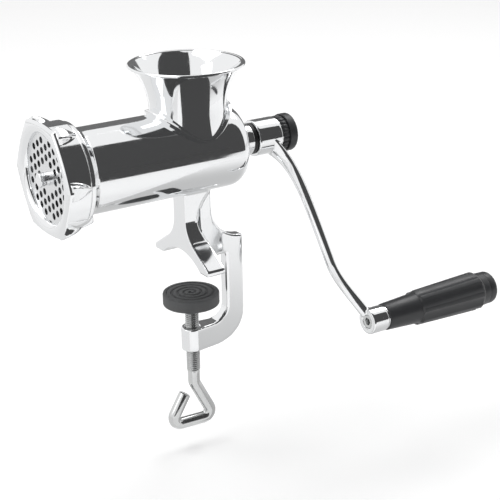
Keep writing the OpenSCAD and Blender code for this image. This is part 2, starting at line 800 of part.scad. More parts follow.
// Points and headings along the arc that rounds corner b of the way a, b, c
function bend_arc(a, b, c) =
    let (
        u = unit(a - b),
        v = unit(c - b),
        half = acos(u * v) / 2,
        centre = b + unit(u + v) * bend_r / sin(half),
        from = b + u * bend_r / tan(half) - centre,
        side = u[0] * v[1] - u[1] * v[0] > 0 ? -1 : 1,
        sweep = side * (180 - 2 * half)
    )
    [for (i = [0:bend_steps])
        let (t = sweep * i / bend_steps, p = turned(from, t))
        [centre + p, p * side]];
function rod_ring(p, out) = [
    for (j = [0:rod_sides - 1])
        let (t = j * 360 / rod_sides, n = unit(out) * rod_d / 2 * cos(t))
        [p[0] + n[0], -rod_d / 2 * sin(t), p[1] + n[1]]
];
function across(a, b) = [b[1] - a[1], a[0] - b[0]];

module bent_rod() {
    n = len(loop_corners);
    arcs = [for (i = [1:n - 2]) each bend_arc(loop_corners[i - 1], loop_corners[i], loop_corners[i + 1])];
    first = [loop_corners[0], across(loop_corners[0], loop_corners[1])];
    last = [loop_corners[n - 1], across(loop_corners[n - 2], loop_corners[n - 1])];
    way = concat([first], arcs, [last]);
    points = [for (w = way) each rod_ring(w[0], w[1])];
    polyhedron(points, ring_faces(len(way), rod_sides), convexity = 6);
}

module clamp_screw() color("silver") {
    translate([0, 0, disc_z]) cylinder(d = tip_d, h = disc_t + 0.6);
    translate([0, 0, pad_low - face_gap]) cylinder(d = tip_d, h = disc_z - pad_low + face_gap);
    translate([0, 0, -thread_drop])
        cylinder(d = screw_d, h = thread_drop + pad_low - face_gap);
    translate([0, 0, rod_z]) cylinder(d1 = rod_d + 0.2, d2 = screw_d, h = shoulder);
    rotate([0, 0, loop_turn]) bent_rod();
}

module pad_disc() color("lightgray")
    translate([0, 0, disc_z]) tube(disc_d, tip_d + 2 * run_gap, disc_t);

module clamp_pad() color("#2b2b2d") {
    groove_w = 1.4;
    groove_depth = 1.2;
    difference() {
        translate([0, 0, -pad_drop]) mirror([0, 0, 1]) cylinder(d = pad_d, h = pad_t, $fn = 128);
        for (i = [1:3]) translate([0, 0, -pad_drop - groove_depth])
            tube(pad_d * (0.14 + 0.22 * i) + 2 * groove_w, pad_d * (0.14 + 0.22 * i), groove_depth + cut);
        translate([0, 0, -pad_drop - groove_depth]) cylinder(d = 5, h = groove_depth + cut);
        translate([0, 0, disc_z - face_gap]) cylinder(d = disc_d + 1, h = disc_t + 0.6 + 2 * face_gap);
        translate([0, 0, pad_low - cut]) cylinder(d = tip_d + 2 * thread_gap, h = disc_z - pad_low + cut);
    }
}

body_casting();
plate_key();
rear_bush();
thrust_washer();
auger();
knife_stud();
cross_knife();
perforated_plate();
ring_nut();
crank_arm();
crank_washer();
crank_knob();
knob_stud();
handle_screw();
handle_spindle();
handle_washer();
handle_grip();
grip_end_cap();
clamp_screw();
pad_disc();
clamp_pad();
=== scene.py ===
# %% [markdown]
# # A hand crank meat grinder
# This lesson dresses a meat grinder for the kitchen: a mirror-polished casting with a hopper and a
# table clamp, a ring nut with six lugs, an S-shaped crank with a fluted grip, and a clamp screw that
# bends into a finger loop. The construction model gives the sizes, and the cells below give the
# surfaces their shape and finish.

import json
import math

import bmesh
import bpy
from mathutils import Matrix, Vector

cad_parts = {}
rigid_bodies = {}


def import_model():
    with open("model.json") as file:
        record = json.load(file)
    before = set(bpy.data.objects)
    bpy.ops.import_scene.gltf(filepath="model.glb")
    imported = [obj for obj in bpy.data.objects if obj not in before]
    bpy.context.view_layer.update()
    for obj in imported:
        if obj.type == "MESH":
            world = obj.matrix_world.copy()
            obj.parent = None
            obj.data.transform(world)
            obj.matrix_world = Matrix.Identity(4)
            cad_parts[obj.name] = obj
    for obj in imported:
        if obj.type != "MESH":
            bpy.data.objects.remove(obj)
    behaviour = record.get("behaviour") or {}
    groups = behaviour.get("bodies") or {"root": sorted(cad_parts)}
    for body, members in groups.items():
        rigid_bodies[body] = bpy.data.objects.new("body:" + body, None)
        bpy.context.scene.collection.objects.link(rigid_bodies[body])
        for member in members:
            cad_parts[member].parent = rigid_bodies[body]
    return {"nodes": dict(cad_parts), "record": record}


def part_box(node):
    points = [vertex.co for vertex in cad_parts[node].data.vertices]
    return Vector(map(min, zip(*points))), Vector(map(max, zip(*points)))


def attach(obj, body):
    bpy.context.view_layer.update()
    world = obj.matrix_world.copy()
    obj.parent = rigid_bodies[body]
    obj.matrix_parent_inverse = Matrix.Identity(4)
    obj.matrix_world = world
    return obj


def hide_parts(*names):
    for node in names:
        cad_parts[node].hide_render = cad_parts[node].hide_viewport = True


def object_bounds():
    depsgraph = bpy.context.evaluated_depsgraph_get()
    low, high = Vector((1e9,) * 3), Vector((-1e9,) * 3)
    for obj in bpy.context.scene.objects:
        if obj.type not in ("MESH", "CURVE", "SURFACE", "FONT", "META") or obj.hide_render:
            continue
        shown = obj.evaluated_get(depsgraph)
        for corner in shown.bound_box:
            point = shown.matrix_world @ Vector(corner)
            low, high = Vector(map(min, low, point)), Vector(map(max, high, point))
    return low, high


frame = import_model()
cad_box = [list(corner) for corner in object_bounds()]
scene = bpy.context.scene
MM = 0.001
print("pieces in the construction model:", len(frame["nodes"]))

# %% [markdown]
# ## Camera
# A long lens from the front left, a little above the barrel. The camera is placed with a matrix:
# its first two columns are the picture's right and up, and its third points back at the camera.

# %% The camera
AZIMUTH, ELEVATION, ROLL = (math.radians(a) for a in (-32.38, 20.81, -1.09))
TARGET = Vector((49.23, 0.0, -3.45)) * MM
DISTANCE = 963.26 * MM

back = Vector((
    math.sin(AZIMUTH) * math.cos(ELEVATION),
    -math.cos(AZIMUTH) * math.cos(ELEVATION),
    math.sin(ELEVATION),
))
level_right = (-back).cross(Vector((0, 0, 1))).normalized()
level_up = level_right.cross(-back)
right = math.cos(ROLL) * level_right + math.sin(ROLL) * level_up
up = -math.sin(ROLL) * level_right + math.cos(ROLL) * level_up

LENS_MM, SENSOR_MM, CLIP_START = 98.07, 36, 0.01
camera = bpy.data.objects.new("camera", bpy.data.cameras.new("camera"))
camera.data.lens = LENS_MM
camera.data.sensor_width = SENSOR_MM
camera.data.clip_start = CLIP_START
camera.matrix_world = Matrix((right, up, back)).transposed().to_4x4()
camera.matrix_world.translation = TARGET + back * DISTANCE
scene.collection.objects.link(camera)
scene.camera = camera
print("camera at", [round(v, 3) for v in camera.matrix_world.translation])


# %% [markdown]
# ## Colours and nodes
# Colours are written as sRGB hex values, as a paint chart gives them, and one function turns them
# into the linear numbers that a shader wants. Another function adds a node and joins it up.


# %% Helpers for materials
def colour(hex_value):
    """Linear RGBA of an sRGB hex value such as "#D8D9DA"."""
    parts = [int(hex_value[i:i + 2], 16) / 255 for i in (1, 3, 5)]
    return [c / 12.92 if c <= 0.04045 else ((c + 0.055) / 1.055) ** 2.4 for c in parts] + [1.0]


def add_node(tree, kind, settings=None, inputs=None):
    """A new node. A pair (node, output name) as an input makes a link; anything else is a value."""
    made = tree.nodes.new(kind)
    for name, value in (settings or {}).items():
        setattr(made, name, value)
    for name, value in (inputs or {}).items():
        if isinstance(value, tuple) and isinstance(value[0], bpy.types.Node):
            tree.links.new(value[0].outputs[value[1]], made.inputs[name])
        else:
            made.inputs[name].default_value = value
    return made


def new_material(name):
    """An empty node material with its output node."""
    material = bpy.data.materials.new(name)
    material.use_nodes = True
    tree = material.node_tree
    tree.nodes.clear()
    return material, tree, tree.nodes.new("ShaderNodeOutputMaterial")


def ramp(tree, value, stops):
    """A colour ramp in greys: stops are (position, grey level)."""
    made = add_node(tree, "ShaderNodeValToRGB", inputs={"Fac": value})
    made.color_ramp.elements[0].position, level = stops[0]
    made.color_ramp.elements[0].color = (level, level, level, 1)
    made.color_ramp.elements[1].position, level = stops[-1]
    made.color_ramp.elements[1].color = (level, level, level, 1)
    for position, level in stops[1:-1]:
        made.color_ramp.elements.new(position).color = (level, level, level, 1)
    return (made, "Color")


print("steel in linear numbers:", [round(c, 3) for c in colour("#D8D9DA")])


# %% [markdown]
# ## Finishes
# Mirror-polished stainless steel is a metal with almost no roughness. What tells the eye that it is
# steel and not a perfect mirror is a slow waviness that hand polishing leaves, and faint wipe marks.

# %% Polished stainless steel
MARKS_FROM, MARKS_TO = 0.35, 0.7  # share of the noise over which a wipe mark fades in


def metal_material(name, base, rough_low, rough_high, wave_mm, wave_depth_mm, mark_mm,
                   stretch=(1, 1, 1)):
    """A metal whose roughness varies with faint marks, and whose surface has a slow waviness."""
    material, tree, output = new_material(name)
    spot = add_node(tree, "ShaderNodeTexCoord")
    mapping = add_node(tree, "ShaderNodeMapping", inputs={
        "Vector": (spot, "Object"), "Scale": stretch})
    marks = add_node(tree, "ShaderNodeTexNoise", inputs={
        "Vector": (mapping, "Vector"), "Scale": 1 / (mark_mm * MM), "Detail": 4.0, "Roughness": 0.6})
    roughness = ramp(tree, (marks, "Fac"), [(MARKS_FROM, rough_low), (MARKS_TO, rough_high)])
    wave = add_node(tree, "ShaderNodeTexNoise", inputs={
        "Vector": (spot, "Object"), "Scale": 1 / (wave_mm * MM), "Detail": 1.0})
    bump = add_node(tree, "ShaderNodeBump", inputs={
        "Height": (wave, "Fac"), "Strength": 1.0, "Distance": wave_depth_mm * MM})
    shader = add_node(tree, "ShaderNodeBsdfPrincipled", inputs={
        "Base Color": colour(base), "Metallic": 1.0, "Roughness": roughness,
        "Normal": (bump, "Normal")})
    tree.links.new(shader.outputs["BSDF"], output.inputs["Surface"])
    return material


# clear reflections that sway a little
polished = metal_material("mirror_polished_stainless_steel", "#EEEFF0", 0.045, 0.11, 28, 0.12, 9)
# a satin sheen with marks that run round the axis
turned = metal_material("fine_turned_stainless_steel", "#E2E3E4", 0.16, 0.3, 12, 0.05, 2.5,
                        (0.25, 1, 1))
# bright, but softer than polished steel
plated = metal_material("bright_zinc_plated_steel", "#D2D3D3", 0.1, 0.24, 14, 0.08, 4)
# dull, because a rolled thread is never polished
rolled = metal_material("rolled_zinc_plated_thread", "#B4B5B5", 0.3, 0.45, 6, 0.05, 2)
print("metals:", [metal.name for metal in (polished, turned, plated, rolled)])


# %% [markdown]
# The knob and the grip are moulded polypropylene, the bush is nylon and the pad is rubber. None of
# them is pure black: a moulded surface scatters some light from its fine grain, and the handled
# parts are a little smoother in patches. Two noises give the grain and the patches.

# %% Black plastics and rubber
PATCH_MM, PATCH_FROM, PATCH_TO, GRAIN_STRENGTH = 14, 0.3, 0.7, 0.5


def plastic_material(name, base, rough_low, rough_high, grain_mm, grain_depth_mm, ior):
    """A moulded plastic: a fine grain from the mould, and a roughness that varies a little."""
    material, tree, output = new_material(name)
    spot = add_node(tree, "ShaderNodeTexCoord")
    grain = add_node(tree, "ShaderNodeTexNoise", inputs={
        "Vector": (spot, "Object"), "Scale": 1 / (grain_mm * MM), "Detail": 3.0})
    patches = add_node(tree, "ShaderNodeTexNoise", inputs={
        "Vector": (spot, "Object"), "Scale": 1 / (PATCH_MM * MM), "Detail": 2.0})
    roughness = ramp(tree, (patches, "Fac"), [(PATCH_FROM, rough_low), (PATCH_TO, rough_high)])
    bump = add_node(tree, "ShaderNodeBump", inputs={
        "Height": (grain, "Fac"), "Strength": GRAIN_STRENGTH, "Distance": grain_depth_mm * MM})
    shader = add_node(tree, "ShaderNodeBsdfPrincipled", inputs={
        "Base Color": colour(base), "Roughness": roughness, "IOR": ior,
        "Normal": (bump, "Normal")})
    tree.links.new(shader.outputs["BSDF"], output.inputs["Surface"])
    return material


# the soft sheen of a handle
black_plastic = plastic_material(
    "moulded_black_polypropylene", "#333436", 0.3, 0.42, 0.8, 0.06, 1.49)
# darker and duller, as it is hardly seen
black_nylon = plastic_material("black_nylon_bush", "#1A1A1B", 0.4, 0.5, 0.8, 0.04, 1.53)
# matt, and paler than the plastics
black_rubber = plastic_material("moulded_black_rubber", "#525354", 0.55, 0.75, 1.0, 0.12, 1.52)
print("black finishes:", [black.name for black in (black_plastic, black_nylon, black_rubber)])

# %% [markdown]
# Some pieces of the construction model are good as they are: the cutting plate, the knife, the
# washers and the hidden screws. They keep their meshes and only get a finish, by the material that
# the model's record gives them.

# %% Give the carried-over pieces their finishes
FINISH_OF_SLOT = {
    "polished_steel": polished,
    "turned_steel": turned,
    "zinc_steel": plated,
    "black_plastic": black_plastic,
    "black_nylon": black_nylon,
    "black_rubber": black_rubber,
}
slot_of_node = {part["node"]: part["material_slot"] for part in frame["record"]["subparts"]}
for name, piece in frame["nodes"].items():
    for material_slot in piece.material_slots:
        material_slot.material = FINISH_OF_SLOT[slot_of_node[name]]
print("finishes given to", len(slot_of_node), "pieces")


# %% [markdown]
# ## Modelling tools
# Most of the grinder was turned or cast, so most shapes here start as a profile that is spun round
# an axis. Corners of a profile are rounded before it is spun, because a polished edge is never sharp
# and the small highlight along it is what makes a piece look real.

# %% Profiles
AXIS_H = 78.0
ARC_STEPS = 6


def rounded(corners, closed=True):
    """Points of a profile from corners (along, radius, fillet); a fillet of 0 keeps the corner."""
    points = []
    count = len(corners)
    for i, (a, r, fillet) in enumerate(corners):
        here = Vector((a, r))
        if fillet == 0 or (not closed and i in (0, count - 1)):
            points.append(here)
            continue
        before = (Vector(corners[i - 1][:2]) - here).normalized()
        after = (Vector(corners[(i + 1) % count][:2]) - here).normalized()
        half = before.angle(after) / 2
        centre = here + (before + after).normalized() * fillet / math.sin(half)
        start, end = (here + way * fillet / math.tan(half) - centre for way in (before, after))
        sweep = start.angle_signed(end)
        points += [centre + Matrix.Rotation(-sweep * k / ARC_STEPS, 2) @ start
                   for k in range(ARC_STEPS + 1)]
    return points


def arc(centre, radius, first, last, steps):
    """Points on an arc between two angles in degrees, measured from the first axis to the second."""
    angles = [math.radians(first + (last - first) * k / steps) for k in range(steps + 1)]
    return [Vector((centre[0] + radius * math.cos(a), centre[1] + radius * math.sin(a)))
            for a in angles]


def divided(points, longest, closed=True):
    """The same profile with its long sides cut into steps, so that shading stays local."""
    out = []
    pairs = zip(points, points[1:] + points[:1] if closed else points[1:])
    for here, there in pairs:
        steps = max(1, math.ceil((there - here).length / longest))
        out += [here.lerp(there, k / steps) for k in range(steps)]
    return out if closed else out + [points[-1]]


print("a rounded square has", len(rounded([(0, 0, 1), (4, 0, 1), (4, 4, 1), (0, 4, 1)])), "points")

# %% [markdown]
# A turned shape is a profile that bmesh.ops.spin carries once round an axis. The finished mesh has
# its doubles merged and its faces turned outwards, and only edges above an angle stay sharp.

# %% Spin a profile
AXES = {  # how a profile's (along, radius) lies in space
    "X": lambda a, r: (a, 0, AXIS_H + r),
    "Z": lambda a, r: (r, 0, a),
}
SPIN_AXIS = {"X": ((0, 0, AXIS_H), (1, 0, 0)), "Z": ((0, 0, 0), (0, 0, 1))}


def spin_mesh(made, points, axis="X", segments=160, closed=True):
    """Adds a turned shape to a bmesh: a profile in mm, spun round the barrel's axis or round Z."""
    verts = [made.verts.new(Vector(AXES[axis](p[0], p[1])) * MM) for p in points]
    pairs = zip(verts, verts[1:] + verts[:1] if closed else verts[1:])
    edges = [made.edges.new(pair) for pair in pairs]
    centre, direction = SPIN_AXIS[axis]
    bmesh.ops.spin(made, geom=verts + edges, cent=Vector(centre) * MM, axis=direction,
                   angle=2 * math.pi, steps=segments, use_merge=True)


def finish_mesh(made, name, material, sharp=30.0, merge=0.001, offset=(0, 0, 0)):
    """Turns a bmesh into an object: doubles merged, faces outward, smooth with sharp edges kept."""
    bmesh.ops.translate(made, verts=made.verts, vec=Vector(offset) * MM)
    bmesh.ops.remove_doubles(made, verts=made.verts, dist=merge * MM)
    bmesh.ops.recalc_face_normals(made, faces=made.faces)
    mesh = bpy.data.meshes.new(name)
    made.to_mesh(mesh)
    made.free()
    mesh.polygons.foreach_set("use_smooth", [True] * len(mesh.polygons))
    mesh.set_sharp_from_angle(angle=math.radians(sharp))
    mesh.materials.append(material)
    piece = bpy.data.objects.new(name, mesh)
    scene.collection.objects.link(piece)
    return piece


def turned_piece(name, points, material, axis="X", segments=160, closed=True, **settings):
    """An object from one spun profile; an open profile starts and ends on the axis."""
    made = bmesh.new()
    spin_mesh(made, points, axis, segments, closed)
    return finish_mesh(made, name, material, **settings)


print("a profile can be spun round", " or ".join(AXES))

# %% [markdown]
# Lugs, flutes and bent bars can't be spun, because their section changes on its way. They are made
# as many closed sections, one after another, which bridge_loops joins into a band or a bar.


# %% Bridge sections
def bridged(made, rings, closed=False):
    """Adds rings of points in mm, bridged in turn: a closed band, or a bar with both ends filled."""
    loops = []
    for ring_points in rings:
        verts = [made.verts.new(Vector(p) * MM) for p in ring_points]
        loops.append([made.edges.new(pair) for pair in zip(verts, verts[1:] + verts[:1])])
    for here, there in zip(loops, loops[1:] + loops[:1] if closed else loops[1:]):
        bmesh.ops.bridge_loops(made, edges=here + there)
    for end in () if closed else (loops[0], loops[-1]):
        bmesh.ops.contextual_create(made, geom=end)


def swept_piece(name, section_at, count, material, **settings):
    """Sections all round the barrel's axis; section_at(angle) gives (x, radius) points."""
    made = bmesh.new()
    angles = [2 * math.pi * k / count for k in range(count)]
    bridged(made, [[(x, r * math.sin(a), AXIS_H + r * math.cos(a)) for x, r in section_at(a)]
                   for a in angles], closed=True)
    return finish_mesh(made, name, material, **settings)


print("sections can be bridged into a band or a bar")

# %% [markdown]
# The leg and the clamp frame are flat forms that cross one another. Each is an outline that is
# extruded, and Booleans intersect, join and cut them. A remesh with a few rounds of smoothing then
# does what the casting's skin and the polishing wheel do: it rounds all edges and fills all corners.

# %% Extrude, combine and cast
PLANES = {  # how an outline's (u, v) and its depth w lie in space
    "xz": lambda u, v, w: (u, w, v),
    "yz": lambda u, v, w: (w, u, v),
    "xy": lambda u, v, w: (u, v, w),
}
ALONG = {  # how a bar along Z is turned
    "X": Matrix.Rotation(math.pi / 2, 4, "Y"),
    "Y": Matrix.Rotation(math.pi / 2, 4, "X"),
    "Z": Matrix.Identity(4),
}


def plate_piece(name, outline, low, high, plane):
    """An outline in mm, extruded: plane "xz" goes along Y, "yz" along X, and "xy" along Z."""
    lay = PLANES[plane]
    made = bmesh.new()
    face = made.faces.new([made.verts.new(Vector(lay(u, v, low)) * MM) for u, v in outline])
    grown = bmesh.ops.extrude_face_region(made, geom=[face])["geom"]
    bmesh.ops.translate(made, verts=[v for v in grown if isinstance(v, bmesh.types.BMVert)],
                        vec=Vector(lay(0, 0, high - low)) * MM)
    return finish_mesh(made, name, polished)


def plain_bar(name, radius, length, middle, segments, along, material=polished):
    """A plain bar with sharp ends round a middle in mm: a hole to cut, or a hexagon of 6 segments."""
    made = bmesh.new()
    bmesh.ops.create_cone(made, cap_ends=True, segments=segments, radius1=radius * MM,
                          radius2=radius * MM, depth=length * MM,
                          matrix=Matrix.Translation(Vector(middle) * MM) @ ALONG[along])
    return finish_mesh(made, name, material)


def combine(target, operation, *others):
    """A Boolean of whole objects; the others are used up. Alone, it applies what the target has."""
    for other in others:
        step = target.modifiers.new("step", "BOOLEAN")
        step.operation, step.solver, step.object = operation, "EXACT", other
    evaluated = target.evaluated_get(bpy.context.evaluated_depsgraph_get())
    mesh = bpy.data.meshes.new_from_object(evaluated)
    target.modifiers.clear()
    target.data = mesh
    for other in others:
        bpy.data.objects.remove(other)
    return target


def cast(piece, name, voxel_mm, rounds):
    """A new piece with one skin of small squares, smoothed a number of rounds."""
    remesh = piece.modifiers.new("cast", "REMESH")
    remesh.mode, remesh.voxel_size, remesh.adaptivity = "VOXEL", voxel_mm * MM, 0
    combine(piece, "UNION")
    made = bmesh.new()
    made.from_mesh(piece.data)
    bpy.data.objects.remove(piece)
    for _ in range(rounds):
        bmesh.ops.smooth_vert(made, verts=made.verts, factor=0.5,
                              use_axis_x=True, use_axis_y=True, use_axis_z=True)
    return finish_mesh(made, name, polished, sharp=180, merge=0.0001)


print("outlines can lie in", " or ".join(PLANES))

# %% [markdown]
# A finished piece rides on the body that moves it, such as the crank or the ring, and takes the
# place of the construction model's own solids.


# %% Join and place
def place(piece, body, *nodes):
    """Puts a finished piece on its moving body, in place of the construction model's nodes."""
    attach(piece, body)
    if nodes:
        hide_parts(*nodes)
        low, high = zip(*(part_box(node) for node in nodes))
        spread = [[v.co[i] for v in piece.data.vertices] for i in range(3)]
        reach = [max(max(spread[i]) - max(p[i] for p in high), min(p[i] for p in low) - min(spread[i]))
                 for i in range(3)]
        print(piece.name, "goes beyond its nodes by", [round(r / MM, 2) for r in reach], "mm")
    return piece


def joined(name, *pieces):
    """One object from several finished ones."""
    bpy.ops.object.select_all(action="DESELECT")
    for piece in pieces:
        piece.select_set(True)
    bpy.context.view_layer.objects.active = pieces[0]
    bpy.ops.object.join()
    pieces[0].name = name
    return pieces[0]


print("every piece rides on its body from here on")


# %% [markdown]
# ## The casting: barrel and hopper
# The barrel and the hopper are one investment casting, ground and polished until the two turned
# forms meet in a narrow fillet. Each form is spun from its wall section. They are joined with exact
# Booleans, and then the hopper's throat and the worm's bore are cut through both.

# %% Sizes of the barrel and the hopper
MOUTH_X, SEAT_X, COLLAR_X, TAIL_X, NECK_END_X = -100.0, -96.0, -86.6, 38.0, 48.5
BARREL_R, BORE_R, THREAD_R, COLLAR_R, NECK_R, BUSH_R = 28.5, 25.0, 33.0, 34.0, 10.8, 8.8
SEAT_R, CHAMBER_R, CHAMBER_X, BORE_END_X = 31.3, 28.2, -87.1, 33.5
LAND_R, THREAD_END_R, NECK_FOOT_R = THREAD_R - 1.6, THREAD_R - 0.6, NECK_R + 5.5
HOPPER_X, THROAT_R, HOPPER_R = 2.5, 22.9, 25.7
RIM_R, RIM_RISE, FLARE_RISE, FLARE_R = 38.8, 60.4, 30.0, 41.82
BEAD_R, LIP_WALL, WALL = 1.05, 1.7, HOPPER_R - THROAT_R
HOPPER_AT = (HOPPER_X, 0, AXIS_H)
LONGEST_MM, ROUND_STEPS = 2.5, 192
print("barrel", NECK_END_X - MOUTH_X, "mm long, hopper", RIM_RISE, "mm above its axis")

# %% Barrel
barrel_section = rounded([
    (MOUTH_X, SEAT_R, 0.4), (MOUTH_X, LAND_R, 0.3), (COLLAR_X, LAND_R, 0.3),
    (COLLAR_X, COLLAR_R, 0.5), (COLLAR_X + 3, COLLAR_R, 0.8),
    (COLLAR_X + 3.4, THREAD_END_R, 0.6), (COLLAR_X + 7.5, BARREL_R, 3.0),
    (TAIL_X, BARREL_R, 11.5), (TAIL_X, NECK_FOOT_R, 1.2), (TAIL_X + 3, NECK_R, 2.5),
    (NECK_END_X, NECK_R, 0.5), (NECK_END_X, BUSH_R, 0.2), (BORE_END_X, BUSH_R, 0.2),
    (BORE_END_X, BORE_R, 7.5), (CHAMBER_X, BORE_R, 0.3), (CHAMBER_X, CHAMBER_R, 0.3),
    (SEAT_X, CHAMBER_R, 0.3), (SEAT_X, SEAT_R, 0.2),
])
body = turned_piece("body_main", divided(barrel_section, LONGEST_MM), polished,
                    segments=ROUND_STEPS)
print("barrel:", len(body.data.polygons), "faces")

# %% [markdown]
# The hopper is a straight throat that flares like a trumpet. Its wall thins towards the lip, which
# ends in a small bead, so that the mouth is not sharp to the hand.

# %% Hopper
FLARE_STEPS, OUTER_SHORT, INNER_END = 24, 4.3, 43.2  # steps, and degrees at the bead
BEAD_FROM, BEAD_TO, BEAD_STEPS, HOPPER_FOOT = 205, -50, 14, 3.0
flare_angle = math.degrees(math.asin((RIM_RISE - FLARE_RISE) / FLARE_R))
flare_centre = (HOPPER_R + FLARE_R, FLARE_RISE)


def inner_flare_point(k):
    """Height and radius inside the flare, at a step from the throat to the lip."""
    radius = FLARE_R + WALL + (LIP_WALL - WALL) * k / FLARE_STEPS
    angle = math.radians(INNER_END * k / FLARE_STEPS)
    return FLARE_RISE + radius * math.sin(angle), HOPPER_R + FLARE_R - radius * math.cos(angle)


outer_flare = [(p.y, p.x) for p in arc(
    flare_centre, FLARE_R, 180, 180 - flare_angle + OUTER_SHORT, FLARE_STEPS)]
inner_flare = [inner_flare_point(k) for k in range(FLARE_STEPS, -1, -1)]
bead = arc((RIM_RISE - BEAD_R, RIM_R - BEAD_R), BEAD_R, BEAD_FROM, BEAD_TO, BEAD_STEPS)
hopper_section = [Vector(p) for p in (
    [(HOPPER_FOOT, HOPPER_R)] + outer_flare + bead + inner_flare + [(HOPPER_FOOT, THROAT_R)])]
hopper = turned_piece("hopper", divided(hopper_section, LONGEST_MM), polished, "Z", ROUND_STEPS,
                      offset=HOPPER_AT)
print("hopper:", len(hopper.data.polygons), "faces")

# %% [markdown]
# The hopper is joined to the barrel first. The throat and the bore are then cut through both, so
# that nothing is left of either wall where the two cross.

# %% Join them and cut the throat and the bore
BORE_FROM, BORE_TO, BODY_SHARP = -30, 26, 28


def plug(name, radius, low, high, axis, offset=(0, 0, 0)):
    """A plain cylinder that cuts: along the barrel, or along the hopper's axis."""
    profile = [(low, 0), (low, radius), (high, radius), (high, 0)]
    return turned_piece(name, profile, polished, axis, ROUND_STEPS, closed=False, offset=offset)


combine(body, "UNION", hopper)
combine(body, "DIFFERENCE", plug("throat_plug", THROAT_R, 0, FLARE_RISE - 1, "Z", HOPPER_AT),
        plug("bore_plug", BORE_R, BORE_FROM, BORE_TO, "X"))
body.data.set_sharp_from_angle(angle=math.radians(BODY_SHARP))
print("barrel and hopper:", len(body.data.polygons), "faces")


# %% [markdown]
# The fillet is the surface that a ball leaves when it rolls along the corner between the two
# cylinders. Its centre keeps the same distance from both, so each cross-section is an exact arc that
# touches the barrel on one side and the hopper on the other. The sections are joined with
# bridge_loops into a closed ring.

# %% Rolling-ball fillet between barrel and hopper
BALL_R, BALL_STEPS, FILLET_SECTIONS = 3.6, 10, 192
IN_BARREL, IN_HOPPER, IN_CORNER = 1.2, 0.5, 0.6  # how far the hidden points lie in the wall


def fillet_section(theta):
    """A closed loop of points in mm: the arc that shows, and two points inside the wall."""
    away = Vector((math.cos(theta), math.sin(theta), 0))
    centre = away * (HOPPER_R + BALL_R)
    centre.z = math.sqrt((BARREL_R + BALL_R) ** 2 - centre.y ** 2)
    on_hopper = away * HOPPER_R + Vector((0, 0, centre.z))
    inward = Vector((0, centre.y, centre.z)).normalized()
    on_barrel = centre - inward * BALL_R
    first, last = on_hopper - centre, on_barrel - centre
    shown = [centre + first.slerp(last, k / BALL_STEPS) for k in range(BALL_STEPS + 1)]
    under = on_barrel - inward * IN_BARREL - away * IN_HOPPER
    return shown + [under, on_hopper - away * IN_BARREL - Vector((0, 0, IN_CORNER))]


fillet = bmesh.new()
bridged(fillet, [[p + Vector(HOPPER_AT) for p in fillet_section(2 * math.pi * k / FILLET_SECTIONS)]
                 for k in range(FILLET_SECTIONS)], closed=True)
fillet_ring = finish_mesh(fillet, "fillet_ring", polished, sharp=45)
print("fillet faces:", len(fillet_ring.data.polygons))


# %% [markdown]
# ## The casting: leg and clamp frame
# The leg stands on two feet with an arch between them, and a web joins it to the C-shaped frame that
# carries the clamp screw. Its views from the front, the side and above are drawn as outlines and
# intersected. A voxel remesh and some smoothing then round every edge as casting and polishing do,
# and melt the leg into the barrel.

# %% Front view of the leg
FOOT_T, TOE_Y, TOE_H, FOOT_LEN, WAIST_Y, WAIST_H, ARCH_H, LEG_TOP = (
    14.5, 36.0, 3.8, 11, 8.0, 32.0, 9.2, 52.6)
TOE_SLOPE = 32
SLOPE = math.radians(TOE_SLOPE)
ARC_END = 90 - TOE_SLOPE

side_r = (WAIST_H - TOE_H - (TOE_Y - WAIST_Y) * math.tan(SLOPE)) / (
    math.sin(math.radians(ARC_END)) - (1 - math.cos(math.radians(ARC_END))) * math.tan(SLOPE))
arch_half = TOE_Y - FOOT_LEN
arch_r = (arch_half ** 2 + ARCH_H ** 2) / (2 * ARCH_H)
arch_angle = math.degrees(math.asin(arch_half / arch_r))
right_side = (
    [Vector((TOE_Y, 0)), Vector((TOE_Y, TOE_H))]
    + arc((WAIST_Y + side_r, WAIST_H), side_r, 180 + ARC_END, 180, 20) + [Vector((WAIST_Y, LEG_TOP))])
arch = arc((0, ARCH_H - arch_r), arch_r, 90 + arch_angle, 90 - arch_angle, 24)
leg_front = arch + right_side + [Vector((-p.x, p.y)) for p in reversed(right_side)]
print("the leg's front view has", len(leg_front), "points")

# %% [markdown]
# From the side the leg is a thick plate whose rear face is pinched in above the foot, where a long
# arc lightens it, and flares out again below the barrel.

# %% Side view of the leg
PINCH, PINCH_Z, PINCH_HALF, TOP_FLARE = 4.2, 30.0, 13.2, 5
pinch_r = (PINCH_HALF ** 2 + PINCH ** 2) / (2 * PINCH)
pinch_x = FOOT_T / 2 - PINCH + pinch_r
pinch_angle = math.degrees(math.asin(PINCH_HALF / pinch_r))
top_angle = math.degrees(math.acos((pinch_x - FOOT_T / 2 - TOP_FLARE) / pinch_r))
leg_side = ([Vector((-FOOT_T / 2, LEG_TOP)), Vector((-FOOT_T / 2, 0)), Vector((FOOT_T / 2, 0))]
            + arc((pinch_x, PINCH_Z), pinch_r, 180 + pinch_angle, 180 - top_angle, 20)
            + [Vector((FOOT_T / 2 + TOP_FLARE, LEG_TOP))])
print("the leg's side view has", len(leg_side), "points")

# %% [markdown]
# The clamp frame is a C: a jaw that carries the screw, a spine behind the table's edge, and a web
# that runs up behind the leg in one long sweep. Seen from above it is a thin rib with a round nose
# in front, where the screw goes through.

